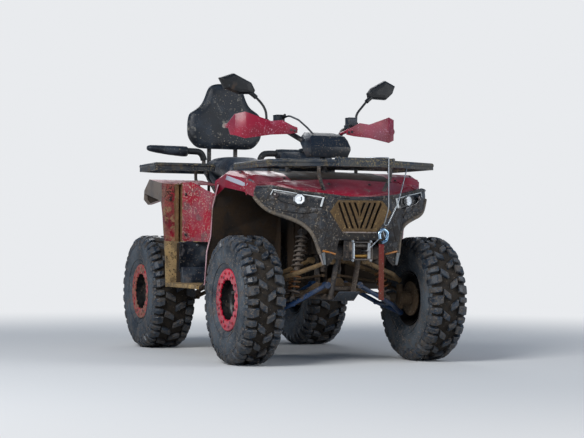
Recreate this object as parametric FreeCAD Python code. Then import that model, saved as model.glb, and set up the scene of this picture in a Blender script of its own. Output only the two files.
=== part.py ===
"""Quad bike: a two-seat utility machine with beadlock wheels, racks, winch and backrest.

Millimetres, +Z up, front towards -Y, +X towards the vehicle's left side. The origin is on the
ground, under the middle of the machine's box.
"""
import math
import os

import FreeCAD
import Part

# Driving dimensions, mm
WHEELBASE = 1499.0
FRONT_OVERHANG = 392.0
REAR_OVERHANG = 400.0
TYRE_RADIUS = 343.0
BEAD_RADIUS = 150.0
FRONT_HALF_TRACK = 533.0
REAR_HALF_TRACK = 508.0
FRONT_TYRE_WIDTH = 230.0
REAR_TYRE_WIDTH = 270.0
TYRE_WALL = 9.0
RIM_WALL = 5.0
RING_OUTER = 165.0
RING_INNER = 107.0
RING_THICK = 9.0
RING_TEETH = 8
TREAD_DEPTH = 21.0
TREAD_PITCHES = 14
HUB_RADIUS = 48.0
SPINDLE_RADIUS = 16.0
RUNNING_GAP = 0.05
FACE_GAP = 0.3

FRAME_TUBE = 16.0
FRAME_HALF_WIDTH = 118.0
FRAME_LOW_Z = 356.0
ARM_TUBE = 12.0
PIVOT_RADIUS = 18.0
PIVOT_X = 96.0
STAY_TUBE = 14.0
CROSS_TUBE = 12.5
DRIVE_RADIUS = 30.0
DRIVE_COVER = 56.0
PANEL_WALL = 4.0
BODY_HALF_WIDTH = 590.0
FLOOR_Z = 379.0

COLUMN_TILT = 23.0
COLUMN_RADIUS = 15.0
COLUMN_TOP = (0.0, 205.0, 1180.0)
COLUMN_LENGTH = 640.0
BAR_RADIUS = 14.0
BAR_HALF_WIDTH = 500.0

KINGPIN_LOW = (400.0, 0.0, 265.0)
KINGPIN_HIGH = (388.0, 0.0, 446.0)
BALL_RADIUS = 15.0

FRONT_RACK_Z = 1072.0
REAR_RACK_Z = 1120.0
RACK_TUBE = 13.0
RACK_INNER_X = 190.0
ROPE_RADIUS = 3.0
HITCH_HOLE_RADIUS = 8.2
HITCH_PLATE = 8.0

DRIVE_Z = FRAME_LOW_Z + FRAME_TUBE + DRIVE_RADIUS + FACE_GAP
RACK_FRONT = FRONT_OVERHANG - 2.0 * ROPE_RADIUS - FACE_GAP
END_BAY_X = PIVOT_X - PIVOT_RADIUS - STAY_TUBE - FACE_GAP
SIDE_PANEL_X = FRAME_HALF_WIDTH + FRAME_TUBE + FACE_GAP
FRONT_AXLE_Y = FRONT_OVERHANG - (FRONT_OVERHANG + WHEELBASE + REAR_OVERHANG) / 2.0
REAR_AXLE_Y = FRONT_AXLE_Y + WHEELBASE
REAR_END_Y = REAR_AXLE_Y + REAR_OVERHANG

ORIGIN = FreeCAD.Vector(0, 0, 0)
AXIS_X = FreeCAD.Vector(1, 0, 0)
AXIS_Y = FreeCAD.Vector(0, 1, 0)
AXIS_Z = FreeCAD.Vector(0, 0, 1)


MIDDLE_BAY = (620.0, 1000.0)
DRAWN_WHEELBASE = 1499.0


def along(y):
    """A distance behind the front axle as drawn; the middle bay takes up a longer wheelbase."""
    share = (y - MIDDLE_BAY[0]) / (MIDDLE_BAY[1] - MIDDLE_BAY[0])
    return y + (WHEELBASE - DRAWN_WHEELBASE) * min(max(share, 0.0), 1.0)


def at(x, y, z):
    """A place given by its drawn distance behind the front axle."""
    return FreeCAD.Vector(x, FRONT_AXLE_Y + along(y), z)


def block(x0, x1, y0, y1, z0, z1):
    """A box between two corners, y counted from the front axle."""
    low, high = at(x0, y0, z0), at(x1, y1, z1)
    return Part.makeBox(high.x - low.x, high.y - low.y, high.z - low.z, low)


def rod(start, end, radius):
    """A round bar between two points."""
    run = end - start
    return Part.makeCylinder(radius, run.Length, start, run)


def ball(centre, radius):
    """A sphere at a point."""
    return Part.makeSphere(radius, centre)


def join(*shapes):
    """One solid out of pieces that overlap, its flush faces merged where that keeps it sound."""
    first, rest = shapes[0], list(shapes[1:])
    fused = first.fuse(rest) if rest else first
    merged = fused.copy().removeSplitter()
    return merged if merged.isValid() else fused


def mirrored(shape):
    """The same piece on the other side of the machine."""
    return shape.mirror(ORIGIN, AXIS_X)


def pair(shape):
    """A piece and its mirror image."""
    return [shape, mirrored(shape)]


def group(shapes):
    """Several solids that share one node."""
    solids = [solid for shape in shapes for solid in shape.Solids]
    return Part.makeCompound(solids)


def bent_path(points, bends):
    """Straight runs joined by tangent arcs, with one radius for each corner."""
    edges = []
    start = points[0]
    for before, corner, after, bend in zip(points, points[1:], points[2:], bends):
        into = (corner - before).normalize()
        out = (after - corner).normalize()
        half_turn = into.getAngle(out) / 2.0
        cut = bend * math.tan(half_turn)
        arc_start = corner - into * cut
        arc_end = corner + out * cut
        inward = (out - into).normalize()
        middle = corner + inward * (bend / math.cos(half_turn) - bend)
        if (arc_start - start).Length > 1e-3:
            edges.append(Part.makeLine(start, arc_start))
        edges.append(Part.Arc(arc_start, middle, arc_end).toShape())
        start = arc_end
    edges.append(Part.makeLine(start, points[-1]))
    return Part.Wire(edges)


def bent_tube(points, radius, bend):
    """A round tube along straight runs; bend is one corner radius or a list of them."""
    bends = bend if isinstance(bend, list) else [bend] * (len(points) - 2)
    path = bent_path(points, bends)
    circle = Part.makeCircle(radius, points[0], points[1] - points[0])
    return path.makePipeShell([Part.Wire([circle])], True, False)


def polygon(corners):
    """A closed flat face through the corners."""
    return Part.Face(Part.makePolygon(list(corners) + [corners[0]]))


def side_prism(outline, x0, x1):
    """A side outline of (y, z) pairs, pushed across the machine from x0 to x1."""
    return polygon([at(x0, y, z) for y, z in outline]).extrude(AXIS_X * (x1 - x0))


def front_prism(outline, y0, y1):
    """A front outline of (x, z) pairs, pushed along the machine from y0 to y1."""
    return polygon([at(x, y0, z) for x, z in outline]).extrude(AXIS_Y * (along(y1) - along(y0)))


def top_prism(outline, z0, z1):
    """A plan outline of (x, y) pairs, pushed up from z0 to z1."""
    return polygon([at(x, y, z0) for x, y in outline]).extrude(AXIS_Z * (z1 - z0))


def sheet_outline(path, wall):
    """The closed outline of a sheet of even thickness, on the left of a 2-D path."""
    normals = []
    for (a0, b0), (a1, b1) in zip(path, path[1:]):
        run = math.hypot(a1 - a0, b1 - b0)
        normals.append((-(b1 - b0) / run, (a1 - a0) / run))
    offset = []
    for index, (a, b) in enumerate(path):
        first = normals[max(index - 1, 0)]
        second = normals[min(index, len(normals) - 1)]
        scale = wall / (1.0 + first[0] * second[0] + first[1] * second[1])
        offset.append((a + (first[0] + second[0]) * scale, b + (first[1] + second[1]) * scale))
    return list(path) + offset[::-1]


def inset(outline, gap):
    """A closed outline drawn in on all sides; its corners run anticlockwise."""
    count = len(outline)
    result = []
    for index, (a, b) in enumerate(outline):
        a0, b0 = outline[index - 1]
        a1, b1 = outline[(index + 1) % count]
        before = math.hypot(a - a0, b - b0)
        after = math.hypot(a1 - a, b1 - b)
        first = (-(b - b0) / before, (a - a0) / before)
        second = (-(b1 - b) / after, (a1 - a) / after)
        scale = gap / (1.0 + first[0] * second[0] + first[1] * second[1])
        result.append((a + (first[0] + second[0]) * scale, b + (first[1] + second[1]) * scale))
    return result


def symmetric(half):
    """A half outline that starts at the centre line, with its mirror image put before it."""
    left = [(-x, other) for x, other in reversed(half) if x > 0]
    return half + left


def loft(sections):
    """A ruled solid through closed polygons that have the same number of corners."""
    wires = [Part.makePolygon(list(corners) + [corners[0]]) for corners in sections]
    return Part.makeLoft(wires, True, True)


def turned(profile, centre):
    """A ring or disc from (x, radius) pairs, turned about a wheel's axle."""
    corners = [FreeCAD.Vector(x, 0, radius) for x, radius in profile]
    solid = polygon(corners).revolve(ORIGIN, AXIS_X, 360)
    solid.translate(centre)
    return solid


def faceted_ring(profile, count):
    """A closed ring of flat faces about the X axis; their middles lie on the (x, radius) profile."""
    grow = 1.0 / math.cos(math.pi / count)

    def corner(place, step):
        x, radius = place
        angle = 2.0 * math.pi * (step + 0.5) / count
        return FreeCAD.Vector(x, radius * grow * math.sin(angle), radius * grow * math.cos(angle))

    faces = []
    for step in range(count):
        for start, end in zip(profile, profile[1:] + profile[:1]):
            faces.append(polygon([corner(start, step), corner(end, step), corner(end, step + 1),
                                  corner(start, step + 1)]))
    solid = Part.makeSolid(Part.makeShell(faces))
    if solid.Volume < 0:
        solid.reverse()
    return solid


LUG_LENGTH = 54.0
LUG_INNER_X = 10.0
CARCASS_FACETS = TREAD_PITCHES


def lugs(width):
    """Bars from the middle over the shoulder, on both edges in turn, half a pitch apart."""
    half = width / 2.0
    section = [(LUG_INNER_X, TYRE_RADIUS - TREAD_DEPTH - 8.0), (LUG_INNER_X, TYRE_RADIUS),
               (half - 30.0, TYRE_RADIUS - 1.0), (half - 6.0, TYRE_RADIUS - 46.0)]
    corners = [FreeCAD.Vector(x, -LUG_LENGTH / 2.0, z) for x, z in section]
    bar = polygon(corners).extrude(AXIS_Y * LUG_LENGTH)
    pitch = 360.0 / TREAD_PITCHES
    placed = []
    for index in range(TREAD_PITCHES):
        for shape, turn in ((bar, 0.0), (mirrored(bar), 0.5)):
            lug = shape.copy()
            lug.rotate(ORIGIN, AXIS_X, (index + turn) * pitch)
            placed.append(lug)
    return placed


def tyre(centre, width):
    """A hollow carcass with its lugs, the beads held between the rim and the ring."""
    half = width / 2.0
    bead = half - 27.0
    crown = TYRE_RADIUS - TREAD_DEPTH - 3.0
    outer = [(bead, BEAD_RADIUS), (bead, RING_OUTER + 2.0), (half - 2.0, 208.0), (half - 4.0, 285.0),
             (half - 36.0, crown)]
    inner = [(half - 38.0, crown - 2.0 * TYRE_WALL), (bead - 2.0 * TYRE_WALL, BEAD_RADIUS)]
    profile = outer + [(-x, r) for x, r in outer[::-1]]
    cavity = [(-x, r) for x, r in inner[::-1]] + inner
    solid = join(faceted_ring(profile + cavity, CARCASS_FACETS), *lugs(width))
    solid.translate(centre)
    return solid


def rim(centre, width, side):
    """A deep black rim with its hub and the scalloped ring that clamps the bead."""
    half = width / 2.0 - 27.0
    outer = BEAD_RADIUS - FACE_GAP
    barrel = turned([(-half, outer), (half, outer), (half, outer - RIM_WALL), (-half, outer - RIM_WALL)],
                    ORIGIN)
    disc = turned([(8, HUB_RADIUS - 2), (22, outer - 3), (22 + RIM_WALL, outer - 3),
                   (8 + 2 * RIM_WALL, HUB_RADIUS - 2)], ORIGIN)
    hub = Part.makeCylinder(HUB_RADIUS, 70, FreeCAD.Vector(-40, 0, 0), AXIS_X)
    bore = Part.makeCylinder(SPINDLE_RADIUS + RUNNING_GAP, 50, FreeCAD.Vector(-41, 0, 0), AXIS_X)
    cap = Part.makeCylinder(HUB_RADIUS * 0.55, 16, FreeCAD.Vector(29, 0, 0), AXIS_X)
    face = half + FACE_GAP
    ring = turned([(face, RING_INNER), (face, RING_OUTER), (face + RING_THICK, RING_OUTER - 3),
                   (face + RING_THICK, RING_INNER)], ORIGIN)
    lip = turned([(half - 4, outer - RIM_WALL - 12), (half - 4, outer - 1), (face + 1, outer - 1),
                  (face + 1, outer - RIM_WALL - 12)], ORIGIN)
    slot = Part.makeCylinder(13, 3 * RING_THICK, FreeCAD.Vector(face - RING_THICK, 0, RING_INNER), AXIS_X)
    slots = []
    for index in range(RING_TEETH):
        notch = slot.copy()
        notch.rotate(ORIGIN, AXIS_X, (index + 0.5) * 360.0 / RING_TEETH)
        slots.append(notch)
    ring = ring.cut(slots)
    wheel = join(barrel, disc, hub, cap, lip, ring).cut(bore)
    if side < 0:
        wheel = mirrored(wheel)
    wheel.translate(centre)
    return wheel


def wheel_centre(axle, side):
    """The middle of one wheel."""
    if axle == "front":
        return FreeCAD.Vector(side * FRONT_HALF_TRACK, FRONT_AXLE_Y, TYRE_RADIUS)
    return FreeCAD.Vector(side * REAR_HALF_TRACK, REAR_AXLE_Y, TYRE_RADIUS)


STUD_GAP = 0.9


def knuckle():
    """Left steering knuckle: kingpin post, spindle and steering arm."""
    low, high = at(*KINGPIN_LOW), at(*KINGPIN_HIGH)
    axis = (high - low).normalize()
    post = rod(low + axis * (BALL_RADIUS + 9.0), high - axis * (BALL_RADIUS + 9.0), 17)
    stud = rod(low + axis * (BALL_RADIUS + STUD_GAP), high - axis * (BALL_RADIUS + STUD_GAP), 5)
    centre = wheel_centre("front", 1)
    spindle = rod(at(380, 0, TYRE_RADIUS), centre - AXIS_X * 2.0, SPINDLE_RADIUS)
    carrier = rod(at(384, 0, TYRE_RADIUS), at(452, 0, TYRE_RADIUS), 40)
    disc = rod(at(456, 0, TYRE_RADIUS), at(462, 0, TYRE_RADIUS), 95)
    collar = rod(at(450, 0, TYRE_RADIUS), at(470, 0, TYRE_RADIUS), 34)
    arm = bent_tube([at(393, 0, 385), at(388, 70, 400), at(384, 108, 402)], 9, 40)
    eye = rod(at(384, 112, 392), at(384, 112, 412), 13)
    return join(post, stud, carrier, spindle, disc, collar, arm, eye)


TIE_ROD_OUTER = (384.0, 112.0, 424.0)
TIE_ROD_INNER = (48.0, 60.0, 470.0)


def tie_rod():
    """Left tie rod, from the knuckle's arm to just under the pitman arm."""
    outer, inner = at(*TIE_ROD_OUTER), at(*TIE_ROD_INNER)
    eye = Part.makeCylinder(12, 18, outer - AXIS_Z * 11.5, AXIS_Z)
    end = Part.makeCylinder(11, 16, inner - AXIS_Z * 8.0, AXIS_Z)
    return join(rod(outer, inner, 7), eye, end)


def column_axis():
    """Unit vector up the steering column."""
    tilt = math.radians(COLUMN_TILT)
    return FreeCAD.Vector(0, math.sin(tilt), math.cos(tilt))


def handlebar():
    """Column, pitman arm, bar clamp, swept bar and grips."""
    top = at(*COLUMN_TOP)
    foot = top - column_axis() * COLUMN_LENGTH
    column = rod(foot, top, COLUMN_RADIUS)
    half = [(BAR_HALF_WIDTH, 352, 1290), (190, 318, 1288), (88, 212, 1203)]
    points = [at(*place) for place in half] + [at(-x, y, z) for x, y, z in reversed(half)]
    bar = bent_tube(points, BAR_RADIUS, 55)
    clamp = block(-45, 45, 185, 240, 1168, 1225)
    grips = [rod(at(side * 345, 334.5, 1289.2), at(side * 488, 350.6, 1290), 18) for side in (1, -1)]
    pitman = join(rod(foot, foot + AXIS_Y * 1.0 - column_axis() * 1.0, 2),
                  rod(foot + column_axis() * 6.0, foot - column_axis() * 10.0, 26))
    arms = []
    for side in (1, -1):
        tip = at(side * TIE_ROD_INNER[0], TIE_ROD_INNER[1], TIE_ROD_INNER[2] + 34)
        arms.append(rod(foot, tip, 10))
        arms.append(rod(tip + AXIS_Z * 12, tip - AXIS_Z * 12, 13))
    return join(column, bar, clamp, pitman, *(grips + arms))


def instrument_pod():
    """Faceted housing over the bar clamp, its front face bare."""
    side = [(72, 1119), (66, 1175), (108, 1236), (180, 1252), (236, 1262), (262, 1228), (176, 1160),
            (168, 1119)]
    front = [(-96, 1100), (-120, 1160), (-112, 1212), (-80, 1275), (80, 1275), (112, 1212), (120, 1160),
             (96, 1100)]
    body = side_prism(side, -125, 125).common(front_prism(front, 0, 320))
    cavity = side_prism([(150, 1090), (150, 1234), (280, 1246), (280, 1090)], -82, 82)
    return body.cut(cavity).cut(handlebar())


GUARD_PLAN = [(150, 186), (300, 206), (430, 234), (486, 270), (512, 330)]
GUARD_FRONT = [(146, 1254), (146, 1282), (176, 1292), (236, 1322), (300, 1316), (440, 1364), (486, 1352),
               (510, 1300), (500, 1240), (440, 1218), (300, 1240), (200, 1246)]


def hand_guard():
    """Left hand guard: a thin shield that widens outwards, with its bracket to the bar."""
    wall = top_prism(sheet_outline(GUARD_PLAN, PANEL_WALL), 1200, 1380)
    shield = wall.common(front_prism(GUARD_FRONT, 100, 400))
    bracket = rod(at(156, 189, 1272), at(150, 262, 1262), 9)
    end = rod(at(513, 326, 1290), at(BAR_HALF_WIDTH + FACE_GAP, 352, 1290), 12)
    return join(shield, bracket, end).cut(handlebar())


MIRROR_BASE_Z = 1316.0
MIRROR_HEAD = [(543, 1557), (478, 1587), (392, 1540), (366, 1508), (374, 1477), (484, 1479), (526, 1520)]


def mirror():
    """Left mirror: six-cornered head, hollowed towards the glass, on a bent stem with a thick neck."""
    glass = [at(x, 388, z) for x, z in MIRROR_HEAD]
    rim = [at(x, 372, z) for x, z in MIRROR_HEAD]
    back = [at(x, 350, z) for x, z in inset(MIRROR_HEAD, 12)]
    head = join(loft([rim, glass]), loft([back, rim]))
    stem = bent_tube([at(276, 330, MIRROR_BASE_Z), at(276, 330, 1376), at(330, 345, 1440), at(384, 368, 1496)],
                     MIRROR_STEM, 40)
    neck = rod(at(346, 351, 1456), at(388, 369, 1500), MIRROR_STEM + 6)
    return join(head, stem, neck)


MIRROR_STEM = 7.0


def controls():
    """Switch housings, brake reservoirs, levers and the cables held between bar and pod."""
    pieces = []
    for side in (1, -1):
        housing = block(230, 300, 300, 352, 1268, MIRROR_BASE_Z - FACE_GAP)
        reservoir = block(196, 246, 258, 306, 1310, 1352)
        foot = block(200, 242, 268, 330, 1296, MIRROR_BASE_Z - FACE_GAP)
        lever = bent_tube([at(240, 304, 1278), at(290, 276, 1278), at(440, 288, 1276)], 6, 40)
        piece = join(housing, reservoir, foot, lever)
        pieces.append(piece if side > 0 else mirrored(piece))
    cable = bent_tube([at(-205, 266, 1336), at(-190, 216, 1350), at(-150, 172, 1324), at(-112, 142, 1282),
                       at(-84, 122, 1246)], 5, 45)
    pieces[1] = join(pieces[1], cable)
    return [piece.cut(handlebar()) for piece in pieces]


def a_arm(inner_front, inner_rear, elbow_front, elbow_rear, outer, radius):
    """A two-legged arm that ends in a ball at the knuckle."""
    legs = []
    for inner, elbow in ((inner_front, elbow_front), (inner_rear, elbow_rear)):
        legs.append(bent_tube([at(*inner), at(*elbow), at(*outer)], radius, 60))
        hub = at(*inner)
        legs.append(rod(hub - AXIS_Y * 20, hub + AXIS_Y * 20, PIVOT_RADIUS))
    return join(ball(at(*outer), BALL_RADIUS), *legs)


def front_lower_arm():
    """Left lower arm of the front axle, with the bridge that carries the shock."""
    arm = a_arm((PIVOT_X, -92, 422), (PIVOT_X, 92, 422), (300, -84, 317), (300, 84, 317), KINGPIN_LOW,
                ARM_TUBE)
    x, y, z = SHOCKS[0][0]
    bridge_z = z - EYE_RADIUS - BRIDGE_RADIUS - FACE_GAP
    bridge = rod(at(x, -86, bridge_z), at(x, 86, bridge_z), BRIDGE_RADIUS)
    return join(arm, bridge)


def front_upper_arm():
    """Left upper arm of the front axle, its legs each side of the shock."""
    return a_arm((PIVOT_X, -150, 552), (PIVOT_X, 112, 552), (292, -112, 481), (292, 84, 481), KINGPIN_HIGH,
                 ARM_TUBE)


REAR_HUB_X = 392.0
REAR_UPRIGHT_HALF = 16.0
REAR_PIVOT_FRONT = -120.0
REAR_PIVOT_REAR = 110.0


def rear_arm(low):
    """Left rear arm, lower or upper; the lower one has the shock's seat."""
    outer_z = TYRE_RADIUS - 72 if low else TYRE_RADIUS + 82
    inner_z = DRIVE_Z if low else 520
    tie_radius = ARM_TUBE + 4
    tie_x = REAR_HUB_X - REAR_UPRIGHT_HALF - tie_radius - FACE_GAP
    y = DRAWN_WHEELBASE
    legs = []
    for shift in (REAR_PIVOT_FRONT, REAR_PIVOT_REAR):
        start = at(PIVOT_X, y + shift, inner_z)
        end = at(tie_x, y + shift * 0.32, outer_z)
        legs.append(rod(start, end, ARM_TUBE))
        legs.append(rod(start - AXIS_Y * 20, start + AXIS_Y * 20, PIVOT_RADIUS))
    if low:
        x, eye_y, z = SHOCKS[1][0]
        seat_z = z - EYE_RADIUS - BRIDGE_RADIUS - FACE_GAP
        legs.append(rod(at(x, eye_y - 18, seat_z), at(x, y, seat_z), BRIDGE_RADIUS))
    tie = rod(at(tie_x, y - 52, outer_z), at(tie_x, y + 48, outer_z), tie_radius)
    return join(tie, *legs)


def rear_hub():
    """Left rear hub carrier with its spindle and brake disc."""
    y = DRAWN_WHEELBASE
    upright = block(REAR_HUB_X - REAR_UPRIGHT_HALF, REAR_HUB_X + REAR_UPRIGHT_HALF, y - 46, y + 42,
                    TYRE_RADIUS - 86, TYRE_RADIUS + 96)
    centre = wheel_centre("rear", 1)
    spindle = rod(at(REAR_HUB_X, y, TYRE_RADIUS), centre - AXIS_X * 2.0, SPINDLE_RADIUS)
    collar = rod(at(REAR_HUB_X, y, TYRE_RADIUS), at(REAR_HUB_X + 54, y, TYRE_RADIUS), 38)
    disc = rod(at(REAR_HUB_X + 36, y, TYRE_RADIUS), at(REAR_HUB_X + 42, y, TYRE_RADIUS), 95)
    return join(upright, spindle, collar, disc)


SHOCKS = [
    # low end (x, y, z), high end (x, y, z)
    ((282.0, -54.0, 346.0), (196.0, -6.0, 706.0)),
    ((300.0, 1368.0, 335.0), (206.0, 1368.0, 760.0)),
]
EYE_RADIUS = 17.0
BRIDGE_RADIUS = 10.0
SPRING_RADIUS = 33.0
SPRING_WIRE = 5.5
SPRING_TURNS = 8
DAMPER_RADIUS = 20.0


def damper(low, high):
    """Eyes, rod and body of one shock absorber, with its spring seats."""
    start, end = at(*low), at(*high)
    length = (end - start).Length
    axis = (end - start).normalize()
    pieces = [rod(start, end, 8), rod(start + axis * length * 0.42, end - axis * 12, DAMPER_RADIUS - 4)]
    for place in (0.10, 0.90):
        pieces.append(rod(start + axis * length * place, start + axis * (length * place + 7), SPRING_RADIUS + 6))
    for point in (start, end):
        pieces.append(rod(point - AXIS_Y * 17, point + AXIS_Y * 17, EYE_RADIUS))
    return join(*pieces)


def spring(low, high):
    """The outside of one coil spring, between its seats."""
    start, end = at(*low), at(*high)
    length = (end - start).Length
    axis = (end - start).normalize()
    begin = 0.10 * length + 7 + FACE_GAP
    span = 0.80 * length - 7 - 2 * FACE_GAP
    pitch = span / SPRING_TURNS
    rings = []
    tube = Part.makeCylinder(DAMPER_RADIUS + 6, span, start + axis * begin, axis)
    bore = Part.makeCylinder(DAMPER_RADIUS + 2, span, start + axis * begin, axis)
    for index in range(SPRING_TURNS):
        low_end = start + axis * (begin + index * pitch)
        rings.append(Part.makeCylinder(SPRING_RADIUS, pitch * 0.55, low_end, axis))
    return join(tube, *rings).cut(bore)


BOOT_RADIUS = 34.0
SHAFT_DROP = 56.0
FRONT_SHAFT_END = 350.0


def half_shafts():
    """Four drive shafts with their boots, each seated on its axle drive."""
    shafts = []
    lean = BOOT_RADIUS * 0.21
    inner_x = PIVOT_X + lean + FACE_GAP
    rear_x = REAR_HUB_X - REAR_UPRIGHT_HALF - lean - FACE_GAP
    for y, outer_x in ((0, FRONT_SHAFT_END), (DRAWN_WHEELBASE, rear_x)):
        start, end = at(inner_x, y, DRIVE_Z), at(outer_x, y, DRIVE_Z - SHAFT_DROP)
        axis = (end - start).normalize()
        boots = [Part.makeCone(BOOT_RADIUS, 16, 58, start, axis),
                 Part.makeCone(16, BOOT_RADIUS, 46, end - axis * 46, axis)]
        shafts += pair(join(rod(start, end, 11), *boots))
    return shafts


def differentials():
    """Two axle drives on the centre line."""
    housings = []
    for y, way in ((0.0, 1.0), (DRAWN_WHEELBASE, -1.0)):
        body = rod(at(-PIVOT_X, y, DRIVE_Z), at(PIVOT_X, y, DRIVE_Z), DRIVE_RADIUS)
        nose = rod(at(0, y, DRIVE_Z), at(0, y + way * 110, DRIVE_Z), 30)
        cover = rod(at(-30, y, DRIVE_Z), at(30, y, DRIVE_Z), DRIVE_COVER)
        housings.append(join(body, nose, cover))
    return housings


BUMPER_Z = 672.0


def frame():
    """Welded tube frame with a narrow bay at each axle."""
    wide, bay, low = FRAME_HALF_WIDTH, END_BAY_X, FRAME_LOW_Z
    rear = DRAWN_WHEELBASE
    lower = [(bay, -90, low), (bay, 120, low), (wide, 330, low), (wide, 1160, low),
             (bay, rear + REAR_PIVOT_FRONT - 30, low), (bay, rear + REAR_PIVOT_REAR + 30, low)]
    upper = [(bay, -196, BUMPER_Z), (wide, 150, 800), (wide, 700, 820), (wide, 1300, 890), (wide, 1760, 900)]
    pieces = []
    for places in (lower, upper):
        pieces += pair(bent_tube([at(*place) for place in places], FRAME_TUBE, 60))
    uprights = [
        # foot (x, y, z), head (x, y, z)
        ((bay, -78, low), (bay, -196, BUMPER_Z)),
        ((bay, 84, low), (bay, 150, 800)),
        ((wide, 400, low), (wide, 400, 808)),
        ((wide, 1140, low), (wide, 1140, 868)),
        ((bay, rear + REAR_PIVOT_FRONT, low), (bay, rear + REAR_PIVOT_FRONT, 900)),
        ((bay, rear + REAR_PIVOT_REAR, low), (bay, rear + REAR_PIVOT_REAR, 900)),
    ]
    for foot, head in uprights:
        pieces += pair(rod(at(*foot), at(*head), STAY_TUBE))
    pieces += pair(rod(at(bay, rear + REAR_PIVOT_REAR, 560), at(bay, 1748, 900), CROSS_TUBE))
    clear = DRIVE_COVER + STAY_TUBE + FACE_GAP
    cross = [
        # half width, y, z
        (bay, -196, BUMPER_Z), (bay, -clear, DRIVE_Z), (wide, 150, 800), (wide, 400, low),
        (wide, 1140, low), (wide, 1140, 868), (bay, rear + clear, DRIVE_Z),
        (wide, rear + REAR_PIVOT_FRONT, 893),
        (wide, rear + REAR_PIVOT_REAR, 897), (wide, 1748, 900),
    ]
    for half, y, z in cross:
        pieces.append(rod(at(-half, y, z), at(half, y, z), CROSS_TUBE))
    for (x, y, z), stay_y in ((SHOCKS[0][1], 136), (SHOCKS[1][1], rear + REAR_PIVOT_FRONT)):
        pin_y = y + EYE_RADIUS + FACE_GAP
        pieces += pair(rod(at(bay, stay_y, z + 4), at(x, pin_y + 18, z), 9))
        pieces += pair(rod(at(x, pin_y, z), at(x, pin_y + 26, z), 15))
    pieces += pair(rod(at(bay, rear + clear, DRIVE_Z), at(bay, rear + REAR_PIVOT_REAR, DRIVE_Z), 10))
    tilted = column_axis()
    bearing = at(*COLUMN_TOP) - tilted * BEARING_DROP
    ring = rod(bearing - tilted * 20, bearing + tilted * 20, COLUMN_RADIUS + 10)
    link = rod(bearing, at(0, 150, 800), 12)
    bore = rod(bearing - tilted * 60, bearing + tilted * 60, COLUMN_RADIUS + RUNNING_GAP)
    pieces.append(join(ring, link).cut(bore))
    x, y, z = FASCIA_STAY
    stay = [rod(at(-x, -196, z), at(x, -196, z), 9)] + pair(rod(at(x, -196, z), at(x, y, z), 9))
    pieces.append(join(*stay).cut(cladding_wall(CLADDING_WALL + FACE_GAP, 0)))
    top = REAR_TOP[1][1] + 6 - PANEL_WALL - 2
    pieces += pair(bent_tube([at(wide, 1300, 878), at(256, 1300, 878), at(256, 1300, top)], 9, 30))
    return pieces


BEARING_DROP = 412.0
FASCIA_STAY = (112.0, -300.0, 690.0)
SLAT_RADIUS = RACK_TUBE - 4.0
RACK_SLAT_X = 210.0
RACK_POSTS = [
    # foot (x, y, z), head (x, y, z)
    ((END_BAY_X, -185, 676), (RACK_SLAT_X, -240, FRONT_RACK_Z - SLAT_RADIUS)),
    ((FRAME_HALF_WIDTH, 146, 800), (RACK_SLAT_X, 190, FRONT_RACK_Z - SLAT_RADIUS)),
    ((FRAME_HALF_WIDTH, 1440, 893), (RACK_INNER_X, 1500, REAR_RACK_Z - RACK_TUBE)),
    ((FRAME_HALF_WIDTH, 1740, 900), (RACK_INNER_X, 1720, REAR_RACK_Z - RACK_TUBE)),
]
POST_RADIUS = 10.0
POST_TOP_RUN = 60.0


def rack_posts(extra):
    """Posts that carry both racks on the frame, made larger by extra to cut their holes."""
    pieces = []
    for foot, head in RACK_POSTS:
        top = at(*head) - AXIS_Z * FACE_GAP
        path = [at(*foot), top - AXIS_Z * POST_TOP_RUN, top]
        pieces += pair(bent_tube(path, POST_RADIUS + extra, 40))
    return pieces


def hitch():
    """Tow plate with a vertical hole at the rear end."""
    y0 = DRAWN_WHEELBASE + REAR_PIVOT_REAR + 20
    y1 = DRAWN_WHEELBASE + REAR_OVERHANG
    z = FRAME_LOW_Z + 40
    plate = block(-32, 32, y0, y1, z, z + HITCH_PLATE)
    web = block(-5, 5, y0, y1 - 80, z - 46, z)
    stay = block(-END_BAY_X - 6, END_BAY_X + 6, y0 - 4, y0 + 8, z - 46, z + 24)
    hole = Part.makeCylinder(HITCH_HOLE_RADIUS, HITCH_PLATE + 2, at(0, y1 - 30, z - 1), AXIS_Z)
    return join(plate, web, stay).cut(hole)


ENGINE_HALF_WIDTH = FRAME_HALF_WIDTH


def engine_block():
    """Engine and gearbox as one plain block that sits on the lower rails."""
    low = FRAME_LOW_Z + FRAME_TUBE + FACE_GAP
    crankcase = block(-ENGINE_HALF_WIDTH, ENGINE_HALF_WIDTH, 440, 1100, low, 610)
    cylinder = side_prism([(500, 600), (520, 780), (700, 780), (720, 600)], -80, 80)
    return join(crankcase, cylinder)


SKID_WALL = 3.0


def skid_plate():
    """Thin belly plate under the lower tubes, narrow between the axle arms and turned up in front."""
    z = FRAME_LOW_Z - FRAME_TUBE - FACE_GAP - SKID_WALL
    path = [(-180, z + 50), (-104, z), (1560, z)]
    plan = symmetric([(62, -190), (62, 150), (150, 300), (150, 1180), (62, 1330), (62, 1600)])
    return side_prism(sheet_outline(path, SKID_WALL), -160, 160).common(top_prism(plan, z - 10, z + 90))


FLARE_EDGE = [(543, 379), (446, 415), (418, 594), (357, 683), (329, 846), (247, 960)]


NOSE_STATIONS = [
    # y, share of the body's half width, top z at the middle, top z at the edge, z of the lower edge
    (-286, 0.102, 908, 904, 886),
    (-241, 0.376, 932, 922, 892),
    (-106, 0.746, 985, 968, 934),
    (20, 0.881, 1030, 1008, 900),
    (189, 0.973, 1044, 1036, 945),
    (300, 1.0, 1040, 1000, 868),
]


def nose_section(y, share, middle, edge, low, inward, down):
    """One cross-section of the nose, drawn in sideways and down."""
    side = BODY_HALF_WIDTH * share - inward
    right = [(side, low), (side, edge - 18 - down), (side - 26, edge - down), (0, middle - down)]
    return [at(x, y, z) for x, z in right + [(-x, z) for x, z in right[-2::-1]]]


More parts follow.
